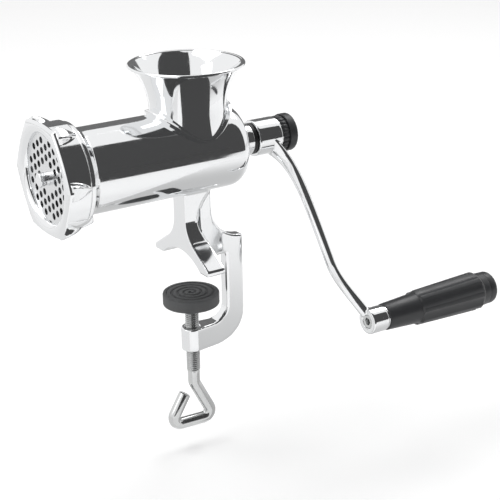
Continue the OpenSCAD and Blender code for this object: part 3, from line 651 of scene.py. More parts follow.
# %% Outlines of the clamp frame
THROAT_X, SPINE_X, JAW_TOP, JAW_LOW, WEB_X = 26.8, 40.7, -49.5, -66.6, 5.75
INNER_ROUND, OUTER_ROUND, JAW_FRONT, TABLE_Z = 12.0, 22.7, -8, 0.5
REAR_X, REAR_LOW, REAR_FROM = 15.4, 12, 269.2
NOSE_R, NOSE_FROM, RIB_FROM, RIB_HALF = 7.8, 67.4, 24.8, 4.2
rear_r = SPINE_X + 0.4 - REAR_X
frame_side = (
    [Vector((WEB_X, LEG_TOP)), Vector((WEB_X, TABLE_Z)), Vector((THROAT_X, TABLE_Z))]
    + arc((THROAT_X - INNER_ROUND, JAW_TOP + INNER_ROUND), INNER_ROUND, 0, -90, 12)
    + [Vector((JAW_FRONT, JAW_TOP)), Vector((JAW_FRONT, JAW_LOW))]
    + arc((SPINE_X - OUTER_ROUND, JAW_LOW + OUTER_ROUND), OUTER_ROUND, -90, 0, 18)
    + arc((REAR_X + rear_r, REAR_LOW + rear_r), rear_r, REAR_FROM, 180, 24)
    + [Vector((REAR_X, LEG_TOP))])
frame_top = arc((0, 0), NOSE_R, NOSE_FROM, 360 - NOSE_FROM, 24) + [
    (RIB_FROM, -RIB_HALF), (SPINE_X + 1, -RIB_HALF), (SPINE_X + 1, RIB_HALF), (RIB_FROM, RIB_HALF)]
print("the frame's side view has", len(frame_side), "points, its top view", len(frame_top))

# %% Leg and frame from their views
leg = combine(plate_piece("leg", leg_front, -20, 30, "yz"), "INTERSECT",
              plate_piece("leg_side", leg_side, -45, 45, "xz"))
clamp_frame = combine(plate_piece("clamp_frame", frame_side, -15, 15, "xz"), "INTERSECT",
                      plate_piece("frame_top", frame_top, -70, 60, "xy"))
for piece in (leg, clamp_frame):
    print(piece.name, "measures", [round(side / MM, 1) for side in piece.dimensions], "mm")

# %% [markdown]
# The leg grows out of a strip of the barrel's own wall, and a small lip hangs below the collar and
# throws off the juice. Both are cut from turned forms with a box, and all are cast together.

# %% Cast it: remesh, round and blend
SHELL_LOW_R, SHELL_R, SHELL_FROM, SHELL_TO = 26.0, 28.25, -28, 34
DRIP_LEN, DRIP_DROP, DRIP_W, DRIP_FROM = 13.0, COLLAR_R + 1.9, 14, COLLAR_X + 0.5
SCREW_HOLE_R, CAST_VOXEL, CAST_ROUNDS = 5.1, 0.55, 14

shell_section = [(SHELL_FROM, SHELL_LOW_R), (SHELL_FROM, SHELL_R), (SHELL_TO, SHELL_R),
                 (SHELL_TO, SHELL_LOW_R)]
shell = turned_piece("shell", shell_section, polished, segments=ROUND_STEPS)
combine(shell, "INTERSECT", plate_piece(
    "keep", [(-17, 46), (17, 46), (17, 58), (-17, 58)], -25, 30, "yz"))

drip = plain_bar("drip", DRIP_DROP, DRIP_W, (COLLAR_X, 0, AXIS_H), 96, "Y")
combine(drip, "INTERSECT", plate_piece("drip_box", [
    (DRIP_FROM, 40), (COLLAR_X + DRIP_LEN, 40), (COLLAR_X + DRIP_LEN, 50), (DRIP_FROM, 50)],
    -8, 8, "xz"))

casting = combine(leg, "UNION", clamp_frame, shell, drip)
combine(casting, "DIFFERENCE", plain_bar(
    "screw_hole", SCREW_HOLE_R, 40, (0, 0, JAW_LOW + 8), 48, "Z"))
leg_casting = cast(casting, "leg_casting", CAST_VOXEL, CAST_ROUNDS)
print("casting:", len(leg_casting.data.polygons), "faces")

# %% One body
body = place(joined("body_main", body, fillet_ring, leg_casting), "frame", "body_casting")
print("body:", len(body.data.polygons), "faces")


# %% [markdown]
# ## Ring nut
# The ring nut holds the cutting plate in the mouth of the barrel. Its front flange is a hexagon with
# bowed sides, and at each corner a lug runs back along the skirt, so that a hand or a wrench can turn
# it. Inside the lip a round cove leads to the plate, and the skirt carries the nut's thread.

# %% Flange and lugs
RING_X, RING_LEN, FLANGE_T, LIP_T, LIP_R, SKIRT_R = -105.0, 18.0, 3.0, 4.0, 29.0, 35.2
LUG_TIP_R, FLANGE_MID_R, LUG_W, NUT_THREAD_R = 40.0, 36.5, 10.0, 33.3


def hexagon_radius(angle):
    """Distance from the axis to the bowed side of the flange; two sides lie level, up and down."""
    half = LUG_TIP_R / 2
    bow = FLANGE_MID_R - LUG_TIP_R * math.cos(math.radians(30))
    side_r = (half ** 2 + bow ** 2) / (2 * bow)
    away = (math.degrees(angle) + 30) % 60 - 30
    a, c = math.radians(away), FLANGE_MID_R - side_r
    return c * math.cos(a) + math.sqrt(side_r ** 2 - (c * math.sin(a)) ** 2)


def lug_radius(angle, depth):
    """Height of a lug at a depth behind the flange: a pointed arch that runs out into the skirt."""
    lug_len = RING_LEN - FLANGE_T
    t = min(max(depth / lug_len, 0), 1)
    width = LUG_W / 2 * (1 - t ** 2) + 1e-6
    crest = SKIRT_R + (LUG_TIP_R - SKIRT_R) * (1 - t ** 2)
    off = math.radians(abs(math.degrees(angle) % 60 - 30))
    side = min(max((width + 1.2 - off * SKIRT_R) / 2.4, 0), 1)
    return SKIRT_R + (crest / math.cos(off) - SKIRT_R) * side * side * (3 - 2 * side)


side_mid, corner = hexagon_radius(0), hexagon_radius(math.radians(30))
print("flange: sides", round(side_mid, 2), "and corners", round(corner, 2), "mm from the axis")

# %% [markdown]
# The nut is swept, not spun: its outside changes with the angle, while its inside stays round. The
# rows behind the flange are closer together where a lug starts and where it runs out.

# %% Ring nut
LUG_DEPTHS = (0, 0.4, 1, 1.8, 2.7, 3.7, 4.7, 5.8, 6.9, 8, 9.1, 10.2, 11.3, 12.4, 13.3, 14, 14.5)
RING_SECTIONS, RING_SHARP, LIP_X = 480, 42, RING_X + LIP_T


def ring_outline(angle):
    """The ring's section at an angle round the axis, as (x, radius) corners in mm."""
    tip = hexagon_radius(angle)
    outside = [(RING_X + 0.35, tip - 0.95), (RING_X + 0.9, tip - 0.3), (RING_X + 1.6, tip),
               (RING_X + FLANGE_T - 0.5, tip)]
    outside += [(RING_X + FLANGE_T + d, max(lug_radius(angle, d), SKIRT_R)) for d in LUG_DEPTHS]
    outside += [(RING_X + RING_LEN - 0.2, SKIRT_R - 0.25), (RING_X + RING_LEN, SKIRT_R - 0.8)]
    inside = [(RING_X + RING_LEN, NUT_THREAD_R + 0.5), (RING_X + RING_LEN - 0.5, NUT_THREAD_R),
              (LIP_X + 0.02, NUT_THREAD_R), (LIP_X, NUT_THREAD_R - 0.3),
              (LIP_X, LIP_R + 0.15), (LIP_X - 0.15, LIP_R)]
    cove = [(LIP_X - LIP_T * math.sin(a), LIP_R + LIP_T - LIP_T * math.cos(a))
            for a in (math.radians(15 * k) for k in range(1, 6))]
    return outside + inside + cove + [
        (RING_X + 0.12, LIP_R + LIP_T + 0.25), (RING_X, LIP_R + LIP_T + 0.7), (RING_X, tip - 1.6)]


ring_nut = swept_piece("ring_nut_polished", ring_outline, RING_SECTIONS, polished,
                       sharp=RING_SHARP)
place(ring_nut, "ring", "ring_nut")
print("ring nut:", len(ring_nut.data.polygons), "faces")


# %% [markdown]
# ## Crank
# The crank is forged and polished: a hub with a square hole, an arm that sweeps out and down in an S,
# and a boss for the handle. The arm is a loft of rounded sections with a ridge along each broad side.
# Hub, arm and boss are cast together by a remesh, so they flow into each other without a seam.

# %% Centre line of the crank arm
HUB_X, HUB_LEN, HUB_R = 51.5, 18.9, 12.6
CRANK_ANGLE, CRANK_R = math.radians(35), 143.5
BOSS_X, BOSS_LEN, BOSS_R = 90.7, 13.0, 9.0
ARM_W, ARM_DEPTH, ARM_SWEEP, ARM_START_R = 7.0, 8.6, 16.0, 5.0
ARM_ROOT_X, ARM_MID_X, ARM_END_X = HUB_X + HUB_LEN / 2 + 1, HUB_X + 27.5, BOSS_X + BOSS_LEN * 0.4
BEND_FROM, BEND_LEN = CRANK_R * 0.68, CRANK_R * 0.4
HANDLE_OFFSET = (0, -CRANK_R * math.sin(CRANK_ANGLE), -CRANK_R * math.cos(CRANK_ANGLE))


def ease(t):
    """A smooth step from 0 to 1."""
    t = min(max(t, 0), 1)
    return t * t * (3 - 2 * t)


def arm_x(r):
    """Place along the barrel of the arm's centre line, at a distance from the barrel's axis."""
    return (ARM_MID_X - (ARM_MID_X - ARM_ROOT_X) * math.exp((ARM_START_R - r) / ARM_SWEEP)
            + (ARM_END_X - ARM_MID_X) * ease((r - BEND_FROM) / BEND_LEN))


print("the arm runs from x", round(arm_x(ARM_START_R), 1), "to", round(arm_x(CRANK_R), 1), "mm")

# %% [markdown]
# The arm's section is a rounded bar with a ridge along each broad side. A power of the sine draws
# both: a low power gives full, square shoulders, and a high one a narrow ridge.

# %% Section of the crank arm
ROOT_WIDER, END_WIDER, WIDER_FADE, DEEPER_FADE, END_FADE = 0.3, 0.1, 25, 13, 20
BAR_SHARE, RIDGE_SHARE, BAR_POWER, RIDGE_POWER, ARM_POINTS = 0.68, 0.32, 0.8, 7, 48


def signed_power(v, exponent):
    """A power that keeps the sign of its base."""
    return math.copysign(abs(v) ** exponent, v)


def arm_section(r):
    """A ring of points round the arm in the crank's plane, turned square to its centre line."""
    half_w = ARM_W / 2 * (1 + ROOT_WIDER * math.exp((ARM_START_R - r) / WIDER_FADE)
                          + END_WIDER * ease((r - CRANK_R * 0.8) / END_FADE))
    half_depth = ARM_DEPTH / 2 + (HUB_R - 1.2 - ARM_DEPTH / 2) * math.exp(
        (ARM_START_R - r) / DEEPER_FADE)
    slope = math.atan2(arm_x(r + 1) - arm_x(r - 1), 2)
    points = []
    for k in range(ARM_POINTS):
        t = 2 * math.pi * k / ARM_POINTS
        u = half_w * signed_power(math.cos(t), BAR_POWER)
        v = half_depth * (BAR_SHARE * signed_power(math.sin(t), BAR_POWER)
                          + RIDGE_SHARE * signed_power(math.sin(t), RIDGE_POWER))
        down = -r + u * math.sin(slope)
        points.append((arm_x(r) + u * math.cos(slope),
                       v * math.cos(CRANK_ANGLE) + down * math.sin(CRANK_ANGLE),
                       AXIS_H - v * math.sin(CRANK_ANGLE) + down * math.cos(CRANK_ANGLE)))
    return points


print("the arm's section has", len(arm_section(CRANK_R / 2)), "points")

# %% [markdown]
# The hub and the boss are turned bars with rounded edges. After they are joined to the arm, the hub
# gets its square hole and a faced rear, and the boss its bore and the seat of the screw's head.

# %% Hub, arm and boss in one
ARM_RINGS, ARM_CROWDING, ARM_REACH = 90, 1.2, CRANK_R - BOSS_R + 4 - ARM_START_R
SQUARE_HALF, FACE_R, HEAD_SEAT_R, SCREW_BORE_R = 4.85, 13.75, 5.05, 3.1
CRANK_VOXEL, CRANK_ROUNDS, CUT_EDGE = 0.42, 7, 0.1


def rounded_bar(name, x, length, radius, offset=(0, 0, 0), edge=0.6, material=polished):
    """A plain turned bar along X whose ends have rounded edges."""
    section = rounded([(x, 0, 0), (x, radius, edge), (x + length, radius, edge),
                       (x + length, 0, 0)], closed=False)
    return turned_piece(name, section, material, "X", 96, closed=False, offset=offset)


arm_made = bmesh.new()
bridged(arm_made, [arm_section(ARM_START_R + ARM_REACH * (k / ARM_RINGS) ** ARM_CROWDING)
                   for k in range(ARM_RINGS + 1)])
crank = finish_mesh(arm_made, "crank", polished)
low, high = AXIS_H - SQUARE_HALF, AXIS_H + SQUARE_HALF
square = plate_piece("square", [(-SQUARE_HALF, low), (SQUARE_HALF, low), (SQUARE_HALF, high),
                                (-SQUARE_HALF, high)], HUB_X - 2, HUB_X + HUB_LEN + 2, "yz")
combine(crank, "UNION", rounded_bar("hub", HUB_X, HUB_LEN, HUB_R),
        rounded_bar("boss", BOSS_X, BOSS_LEN, BOSS_R, HANDLE_OFFSET))
combine(crank, "DIFFERENCE", square,
        rounded_bar("spot_face", HUB_X + HUB_LEN, 14, FACE_R, edge=CUT_EDGE),
        rounded_bar("screw_seat", BOSS_X - 1, 8.2, HEAD_SEAT_R, HANDLE_OFFSET, CUT_EDGE),
        rounded_bar("screw_bore", BOSS_X - 1, BOSS_LEN + 2, SCREW_BORE_R, HANDLE_OFFSET, CUT_EDGE))
crank = place(cast(crank, "crank_polished", CRANK_VOXEL, CRANK_ROUNDS), "crank", "crank_arm")

print("crank:", len(crank.data.polygons), "faces")

# %% [markdown]
# ## Knob, bush and grip
# The knob and the grip are moulded from black plastic. The knob has a band of small flutes for the
# fingers. The grip has a plain tapered nose and a body with eight shallow flutes, and an end cap
# closes it. The flutes come from one radius that changes with the angle round the axis.

# %% Knob
KNOB_X, KNOB_R, KNOB_LEN, KNOB_BORE_R, CLOSED_R = 71.5, 13.2, 11.2, 4.1, 0.02
BAND_R, BAND_LEN, GAP_R, GAP_END = 12.4, 4.2, 11.4, 4.9
KNOB_FLUTES, KNOB_FLUTE_DEPTH, KNOB_FLUTE_POWER = 24, 0.5, 1.5


def knob_section(angle):
    """The knob's wall at an angle: a fluted band in front and a plain rounded disc behind."""
    flute = KNOB_FLUTE_DEPTH * max(0.0, math.cos(KNOB_FLUTES * angle)) ** KNOB_FLUTE_POWER
    r = BAND_R - flute
    band = [(0, KNOB_BORE_R), (0, r - 0.5), (0.15, r - 0.15), (0.5, r), (2, r), (3.9, r),
            (BAND_LEN, r - 0.2), (BAND_LEN, GAP_R), (GAP_END, GAP_R)]
    disc = rounded([(GAP_END, GAP_R, 0), (GAP_END, KNOB_R, 0.5), (KNOB_LEN, KNOB_R, 1.5),
                    (KNOB_LEN, CLOSED_R, 0)], closed=False)[1:]
    bottom = [(KNOB_LEN - 3, CLOSED_R), (KNOB_LEN - 3, KNOB_BORE_R)]
    return [(KNOB_X + p[0], p[1]) for p in band + disc + bottom]


knob = swept_piece("knob_moulded", knob_section, 240, black_plastic, sharp=40)
place(knob, "knob", "crank_knob")
print("knob:", len(knob.data.polygons), "faces")

# %% [markdown]
# The bush is a plain nylon bearing in the casting's neck. Only its flange shows, as a dark ring
# between the casting and the crank's hub.

# %% Bush
bush_section = rounded([(33.5, 7.05, 0.2), (33.5, 8.75, 0.3), (48.5, 8.75, 0), (48.5, 10.75, 0.5),
                        (51.3, 10.75, 0.5), (51.3, 7.05, 0.3)])
bush = place(turned_piece("bush_moulded", bush_section, black_nylon), "frame", "rear_bush")
print("bush:", len(bush.data.polygons), "faces")

# %% [markdown]
# The grip's flutes are hollows with the arc of a ball-nosed cutter. They are cut only where the body
# stands above the nose, so the same rule makes their round ends.

# %% Grip
GRIP_X, GRIP_BODY_LEN, GRIP_R, GRIP_MID_R, GRIP_FRONT_R, GRIP_REAR_R = (
    104.7, 89.0, 14.0, 12.4, 9.3, 11.7)
TAPER_LEN, RISE, BODY_END, FLUTES, FLUTE_DEPTH, FLUTE_R = 26.88, 2.6, 83.2, 8, 1.3, 5.2
SPINDLE_R, CAP_R, CAP_FLOOR, LONGEST_GRIP_MM = 5.6, 8.4, 78, 3.0
grip_profile = divided(rounded([
    (0, SPINDLE_R, 0.3), (0, GRIP_FRONT_R, 0.7), (TAPER_LEN, GRIP_FRONT_R + 1.5, 0.3),
    (TAPER_LEN + 0.9, GRIP_MID_R, 0.5), (BODY_END - RISE, GRIP_R, 1.5),
    (BODY_END, GRIP_REAR_R + 0.3, 0.5), (GRIP_BODY_LEN, GRIP_REAR_R, 0.3),
    (GRIP_BODY_LEN, CAP_R, 0), (CAP_FLOOR, CAP_R, 0), (CAP_FLOOR, SPINDLE_R, 0)]), LONGEST_GRIP_MM)


def grip_section(angle):
    """The grip's wall: eight flutes cut into the body, none into the nose and the rear."""
    around = (angle + CRANK_ANGLE + math.pi / 2) % (2 * math.pi / FLUTES) - math.pi / FLUTES
    points = []
    for p in grip_profile:
        r = p.y
        if TAPER_LEN + 0.5 < p.x < BODY_END + 0.1 and r > GRIP_FRONT_R + 1.6:
            line = GRIP_MID_R + (GRIP_R - GRIP_MID_R) * (p.x - TAPER_LEN) / (BODY_END - TAPER_LEN)
            off = abs(around) * line
            r = min(r, line - FLUTE_DEPTH + off * off / (2 * FLUTE_R))
        points.append((GRIP_X + p.x, r))
    return points


grip = swept_piece("grip_moulded", grip_section, 400, black_plastic, sharp=22,
                   offset=HANDLE_OFFSET)
place(grip, "grip", "handle_grip")
print("grip:", len(grip.data.polygons), "faces")

# %% [markdown]
# The end cap plugs the grip's rear. Its round face has a shallow dish, as a moulded cap has.

# %% End cap
CAP_X, CAP_EDGE_R = GRIP_X + GRIP_BODY_LEN, GRIP_REAR_R - 0.1
cap_section = rounded([
    (CAP_X - 3.6, 0, 0), (CAP_X - 3.6, 8.2, 0.3), (CAP_X, 8.2, 0), (CAP_X + 0.15, CAP_EDGE_R, 0.5),
    (CAP_X + 7, CAP_EDGE_R, 2.8), (CAP_X + 6.6, 4.5, 1.5), (CAP_X + 6.6, 0, 0)], closed=False)
cap = turned_piece("cap_moulded", cap_section, black_plastic, "X", 128, closed=False,
                   offset=HANDLE_OFFSET)
place(cap, "grip", "grip_end_cap")
print("cap:", len(cap.data.polygons), "faces")

# %% [markdown]
# ## Screws, pin and pad
# The handle screw has a round head with a hexagon socket, which sits sunk in the boss. The centre
# pin is a polished bar whose rounded end shows in the middle of the cutting plate.

# %% Handle screw and centre pin
HEAD_X, HEAD_LEN, HEAD_R, SOCKET_R, SOCKET_LEN = BOSS_X + 0.5, 6.7, 5.0, 2.9, 5
SHANK_LEN, SHANK_R, PIN_X, PIN_LEN, PIN_R = 21.6, 3.0, -107.5, 31.2, 4.4
screw_head = rounded_bar("handle_screw_head", HEAD_X, HEAD_LEN, HEAD_R, HANDLE_OFFSET,
                         material=plated)
combine(screw_head, "DIFFERENCE", plain_bar(
    "hexagon", SOCKET_R, SOCKET_LEN, (HEAD_X, HANDLE_OFFSET[1], AXIS_H + HANDLE_OFFSET[2]),
    6, "X", plated))
screw_head.data.set_sharp_from_angle(angle=math.radians(35))
screw_shank = rounded_bar("screw_shank", BOSS_X + 7, SHANK_LEN, SHANK_R, HANDLE_OFFSET, 0.4, plated)
place(joined("handle_screw_plated", screw_head, screw_shank), "crank", "handle_screw")
pin = place(rounded_bar("pin_polished", PIN_X, PIN_LEN, PIN_R, edge=0.7), "crank", "knife_stud")
print("pin:", len(pin.data.polygons), "faces")

# %% [markdown]
# The clamp screw is a bright rod with a rolled thread, bent cold into a loop for the fingers. The
# thread is a ridge that bmesh.ops.spin carries round and lifts by one pitch a turn.

# %% Clamp screw
SCREW_R, SCREW_PITCH, THREAD_TOP, THREAD_LOW, RIDGE_W, TURN_STEPS = 4.8, 1.5, -33.0, -84.0, 1.4, 32
core_section = [(-25.8, 0), (-25.8, 2.7), (-26.1, 3.0), (-32.1, 3.0), (-32.1, 3.9), (-32.5, 4.1),
                (-83.6, 4.1), (-84.0, 4.25), (-86.8, 4.2), (-86.8, 0)]
core = turned_piece("clamp_core", core_section, plated, "Z", 64, closed=False)

thread = bmesh.new()
ridge = [thread.verts.new(Vector((r, 0, THREAD_LOW + z)) * MM) for r, z in (
    (3.9, 0), (3.9, RIDGE_W), (SCREW_R - 0.12, 0.88), (SCREW_R, 0.7), (SCREW_R - 0.12, 0.52))]
ridge_edges = [thread.edges.new(pair) for pair in zip(ridge, ridge[1:] + ridge[:1])]
turns = (THREAD_TOP - THREAD_LOW - RIDGE_W) / SCREW_PITCH
steps = round(turns * TURN_STEPS)
spun = bmesh.ops.spin(thread, geom=ridge + ridge_edges, cent=(0, 0, 0), axis=(0, 0, 1), steps=steps,
                      angle=steps * 2 * math.pi / TURN_STEPS,
                      dvec=(0, 0, SCREW_PITCH / TURN_STEPS * MM), use_merge=False)
last = [e for e in spun["geom_last"] if isinstance(e, bmesh.types.BMEdge)]
for end in (ridge_edges, last):
    bmesh.ops.contextual_create(thread, geom=end)
thread_piece = finish_mesh(thread, "clamp_thread", rolled, sharp=50)
print("clamp screw: a thread of", round(turns, 1), "turns")

# %% [markdown]
# The finger loop is one rod: straight runs between corners, and an arc of one bending radius in
# each corner. The path is worked out first, as points with a heading, and a round section follows it.

# %% Finger loop
ROD_R, BEND_R, BEND_STEPS, ROD_POINTS, LOOP_TURN = 4.2, 5.4, 16, 32, math.radians(-3)
corners = [Vector(p) for p in ((0, -85.5), (0, -92.9), (15.1, -122.9), (-20.8, -122.9), (-7.7, -100.3))]
way = [(corners[0], Vector((0, -1)))]
for before, here, after in zip(corners, corners[1:], corners[2:]):
    u, v = (before - here).normalized(), (after - here).normalized()
    half = u.angle(v) / 2
    centre = here + (u + v).normalized() * BEND_R / math.sin(half)
    start, end = (here + side * BEND_R / math.tan(half) - centre for side in (u, v))
    sweep = start.angle_signed(end)
    for k in range(BEND_STEPS + 1):
        spoke = Matrix.Rotation(-sweep * k / BEND_STEPS, 2) @ start
        heading = Vector((-spoke.y, spoke.x)).normalized() * (1 if sweep < 0 else -1)
        way.append((centre + spoke, heading))
final = (corners[-1] - corners[-2]).normalized()
way += [(corners[-1] - final * short, final) for short in (0.5, 0.15, 0)]
end_radius = {len(way) - 2: ROD_R - 0.15, len(way) - 1: ROD_R - 0.5}
rings = []
for index, (point, heading) in enumerate(way):
    radius = end_radius.get(index, ROD_R)
    across = Vector((heading.y, -heading.x))
    ring_points = []
    for k in range(ROD_POINTS):
        t = 2 * math.pi * k / ROD_POINTS
        x, y = point.x + across.x * radius * math.cos(t), radius * math.sin(t)
        ring_points.append((x * math.cos(LOOP_TURN) - y * math.sin(LOOP_TURN),
                            x * math.sin(LOOP_TURN) + y * math.cos(LOOP_TURN),
                            point.y + across.y * radius * math.cos(t)))
    rings.append(ring_points)
rod_made = bmesh.new()
bridged(rod_made, rings)
rod = finish_mesh(rod_made, "clamp_rod", plated)
clamp_screw = place(joined("clamp_screw_plated", core, thread_piece, rod), "screw", "clamp_screw")
print("clamp screw:", len(clamp_screw.data.polygons), "faces")

# %% [markdown]
# The rubber pad has a spiral groove that lets it grip the underside of a table. Its top is spun with
# many fine rings, and the groove lowers those that it runs over.

# %% Rubber pad
PAD_R, PAD_TOP, PAD_LOW, GROOVE_PITCH, GROOVE_W, GROOVE_DEPTH = 19.7, -23.4, -31.9, 4.2, 1.5, 1.15
GROOVE_START, GROOVE_END_R, GROOVE_EDGE, GROOVE_RUN_OUT = 1.2, 17.6, 0.5, 0.8
pad_section = divided(rounded([
    (PAD_TOP, 0, 0), (PAD_TOP, PAD_R, 1.0), (PAD_LOW, PAD_R, 0.8), (PAD_LOW, 3.4, 0.2), (-28.6, 3.4, 0),
    (-28.6, 8.4, 0), (-25.7, 8.4, 0), (-25.7, 0, 0)], closed=False), 0.3, closed=False)
pad_made = bmesh.new()
spin_mesh(pad_made, pad_section, "Z", 128, closed=False)
bmesh.ops.remove_doubles(pad_made, verts=pad_made.verts, dist=0.001 * MM)
for v in pad_made.verts:
    r = math.hypot(v.co.x, v.co.y) / MM
    if v.co.z > (PAD_TOP - 0.01) * MM and r < GROOVE_END_R:
        turn = math.atan2(v.co.y, v.co.x) / (2 * math.pi)
        off = abs((r - GROOVE_START - GROOVE_PITCH * turn) % GROOVE_PITCH - GROOVE_PITCH / 2)
        depth = GROOVE_DEPTH * ease((GROOVE_W / 2 + GROOVE_EDGE / 2 - off) / GROOVE_EDGE)
        v.co.z -= depth * ease((GROOVE_END_R - r) / GROOVE_RUN_OUT) * MM
pad = finish_mesh(pad_made, "pad_moulded", black_rubber, sharp=40)
place(pad, "pad", "clamp_pad")
print("pad:", len(pad.data.polygons), "faces")

# %% [markdown]
# ## Worm
# The worm is a cast screw whose flight brings the food forward to the knife. Its pitch shrinks
# towards the plate, which presses the food together. Each section of the flight is a rounded tooth,
# and the sections follow one another along a left-hand helix.

# %% Worm
CORE_FRONT_X, CORE_REAR_X, CORE_FRONT_R, CORE_REAR_R, WORM_R = -88.1, 31.8, 12.5, 9.0, 24.4
FLIGHT_FRONT_X, FLIGHT_REAR_X, TURNS, PITCH_RATIO = -85.1, 23.8, 3.75, 1.5
WORM_SECTIONS, SQUARE_W, WORM_SHAFT_R = 300, 9.5, 7.0
worm_section = rounded([
    (CORE_FRONT_X, 0, 0), (CORE_FRONT_X, CORE_FRONT_R, 0.8), (CORE_REAR_X, CORE_REAR_R, 0.8),
    (CORE_REAR_X, WORM_SHAFT_R, 0.3), (HUB_X, WORM_SHAFT_R, 0.3), (HUB_X, 0, 0)], closed=False)
worm_made = bmesh.new()
spin_mesh(worm_made, worm_section, "X", 96, closed=False)


def flight_ring(t):
    """The flight's tooth at share t of its turns."""
    x = FLIGHT_FRONT_X + (FLIGHT_REAR_X - FLIGHT_FRONT_X) * (
        t + (PITCH_RATIO - 1) / 2 * t * t) / (1 + (PITCH_RATIO - 1) / 2)
    taper = (CORE_REAR_R - CORE_FRONT_R) * (x - CORE_FRONT_X) / (CORE_REAR_X - CORE_FRONT_X)
    root = CORE_FRONT_R + taper - 1
    angle = -2 * math.pi * TURNS * t
    half_tooth = [(3.5, root), (2.6, root + 2.2), (1.7, WORM_R - 3), (1.5, WORM_R - 0.6),
                  (1.0, WORM_R - 0.1)]
    tooth = [(-3.5, root)] + half_tooth + [(-dx, r) for dx, r in reversed(half_tooth[1:])]
    return [(x + dx, r * math.cos(angle), AXIS_H + r * math.sin(angle)) for dx, r in tooth]


bridged(worm_made, [flight_ring(k / WORM_SECTIONS) for k in range(WORM_SECTIONS + 1)])
for low, high in ((-95.0, -87.5), (HUB_X - 0.5, HUB_X + HUB_LEN - 2)):
    middle = Matrix.Translation(Vector(((low + high) / 2, 0, AXIS_H)) * MM)
    bmesh.ops.create_cube(worm_made, size=MM,
                          matrix=middle @ Matrix.Diagonal((high - low, SQUARE_W, SQUARE_W, 1)))
worm = finish_mesh(worm_made, "worm_cast", turned, sharp=40)
place(worm, "crank", "auger")
print("worm:", len(worm.data.polygons), "faces")


# %% [markdown]
# ## Studio
# Polished steel has no colour of its own and shows its surroundings. On plain white paper it would
# vanish, so dark, grey and pale cards stand and lie round it: every curve gets a dark band to
# reflect, and its form can be read. The paper glows a little for the camera and for mirrors alone.

# %% Floor
CLAMP_DROP = 0.0145  # how far the clamp screw goes down when it is turned right out
FLOOR_Z = cad_box[0][2] - CLAMP_DROP
FLOOR_R, FLOOR_GLOW = 8, 0.24


def seen_ray(tree):
    """1 for the rays of the camera and of mirrors, and 0 for the light that falls on things."""
    light_path = add_node(tree, "ShaderNodeLightPath")
    return (add_node(tree, "ShaderNodeMath", {"operation": "MAXIMUM"}, {
        0: (light_path, "Is Camera Ray"), 1: (light_path, "Is Glossy Ray")}), 0)


def glow_material(name, base, glow):
    """A matt surface that also glows a little where the camera or a polished piece sees it."""
    material, tree, output = new_material(name)
    amount = add_node(tree, "ShaderNodeMath", {"operation": "MULTIPLY"}, {
        0: seen_ray(tree), 1: glow})
    shader = add_node(tree, "ShaderNodeBsdfPrincipled", inputs={
        "Base Color": colour(base), "Roughness": 0.9, "Specular IOR Level": 0.0,
        "Emission Color": (1, 1, 1, 1), "Emission Strength": (amount, 0)})
    tree.links.new(shader.outputs["BSDF"], output.inputs["Surface"])
    return material


def stage_mesh(name, build, material):
    """A stage object from a function that fills a bmesh."""
    made = bmesh.new()
    build(made)
    mesh = bpy.data.meshes.new(name)
    made.to_mesh(mesh)
    made.free()
    mesh.materials.append(material)
    piece = bpy.data.objects.new(name, mesh)
    scene.collection.objects.link(piece)
    return piece


def floor_shape(made):
    """A large round sheet of paper."""
    bmesh.ops.create_circle(made, cap_ends=True, radius=FLOOR_R, segments=96,
                            matrix=Matrix.Translation((0, 0, FLOOR_Z)))


stage_mesh("floor", floor_shape, glow_material("white_paper_floor", "#F6F6F6", FLOOR_GLOW))
print("floor at", round(FLOOR_Z / MM, 1), "mm")

# %% [markdown]
# The world is white where it is seen, and weaker where it only lights. Three large lamps do the
# rest: one above and behind for the soft shadow, a weak one on the left, and one for the far edges.

# %% World and lamps
WORLD_LIGHT, WORLD_SEEN = 0.55, 1.0
world = bpy.data.worlds.new("white_studio")
scene.world = world
world.use_nodes = True
world.node_tree.nodes.clear()
world_out = world.node_tree.nodes.new("ShaderNodeOutputWorld")
strength = add_node(world.node_tree, "ShaderNodeMapRange", inputs={
    "Value": seen_ray(world.node_tree), "To Min": WORLD_LIGHT, "To Max": WORLD_SEEN})
sky = add_node(world.node_tree, "ShaderNodeBackground", inputs={
    "Color": (1, 1, 1, 1), "Strength": (strength, "Result")})
world.node_tree.links.new(sky.outputs["Background"], world_out.inputs["Surface"])


def softbox(name, azimuth, elevation, distance, width, height, watts):
    """A rectangular lamp that looks at the grinder from an azimuth (0 is -Y) and an elevation."""
    a, e = math.radians(azimuth), math.radians(elevation)
    way = Vector((math.sin(a) * math.cos(e), -math.cos(a) * math.cos(e), math.sin(e)))
    lamp = bpy.data.lights.new(name, "AREA")
    lamp.shape = "RECTANGLE"
    lamp.size, lamp.size_y, lamp.energy = width, height, watts
    piece = bpy.data.objects.new(name, lamp)
    piece.matrix_world = way.to_track_quat("Z", "Y").to_matrix().to_4x4()
    piece.matrix_world.translation = TARGET + way * distance
    scene.collection.objects.link(piece)


for lamp_settings in (
    ("softbox_above", -125, 66, 2.6, 1.8, 1.4, 19),
    ("softbox_left", -95, 30, 1.6, 0.7, 1.0, 2.5),
    ("softbox_back_right", 112, 51, 1.7, 0.8, 0.55, 5),
):
    softbox(*lamp_settings)
    print(lamp_settings[0], "gives", lamp_settings[-1], "W")

# %% [markdown]
# A card is an edge that is swept round the grinder: an upright edge makes a curved wall, and a level
# one a flat sheet. Only mirrors see the cards. They hide nothing from the camera, and they take no
# light away and throw no shadow. Two sheets on the floor are painted shade for the mirrors: a grey
# one for the grinder's shadow on the right, and a paler one behind and to the left. They fade from
# grey to white, because a hard edge would show as a line in the barrel.

# %% Cards for the mirrors
WALL_R, BACK_R, WALL_FOOT, WALL_TOP, BACK_TOP = 0.75, 0.9, -0.05, 3.0, 0.76
FLAG_Z, SHEET_Z, CARD_STEPS = 0.084, FLOOR_Z + 0.002, 32


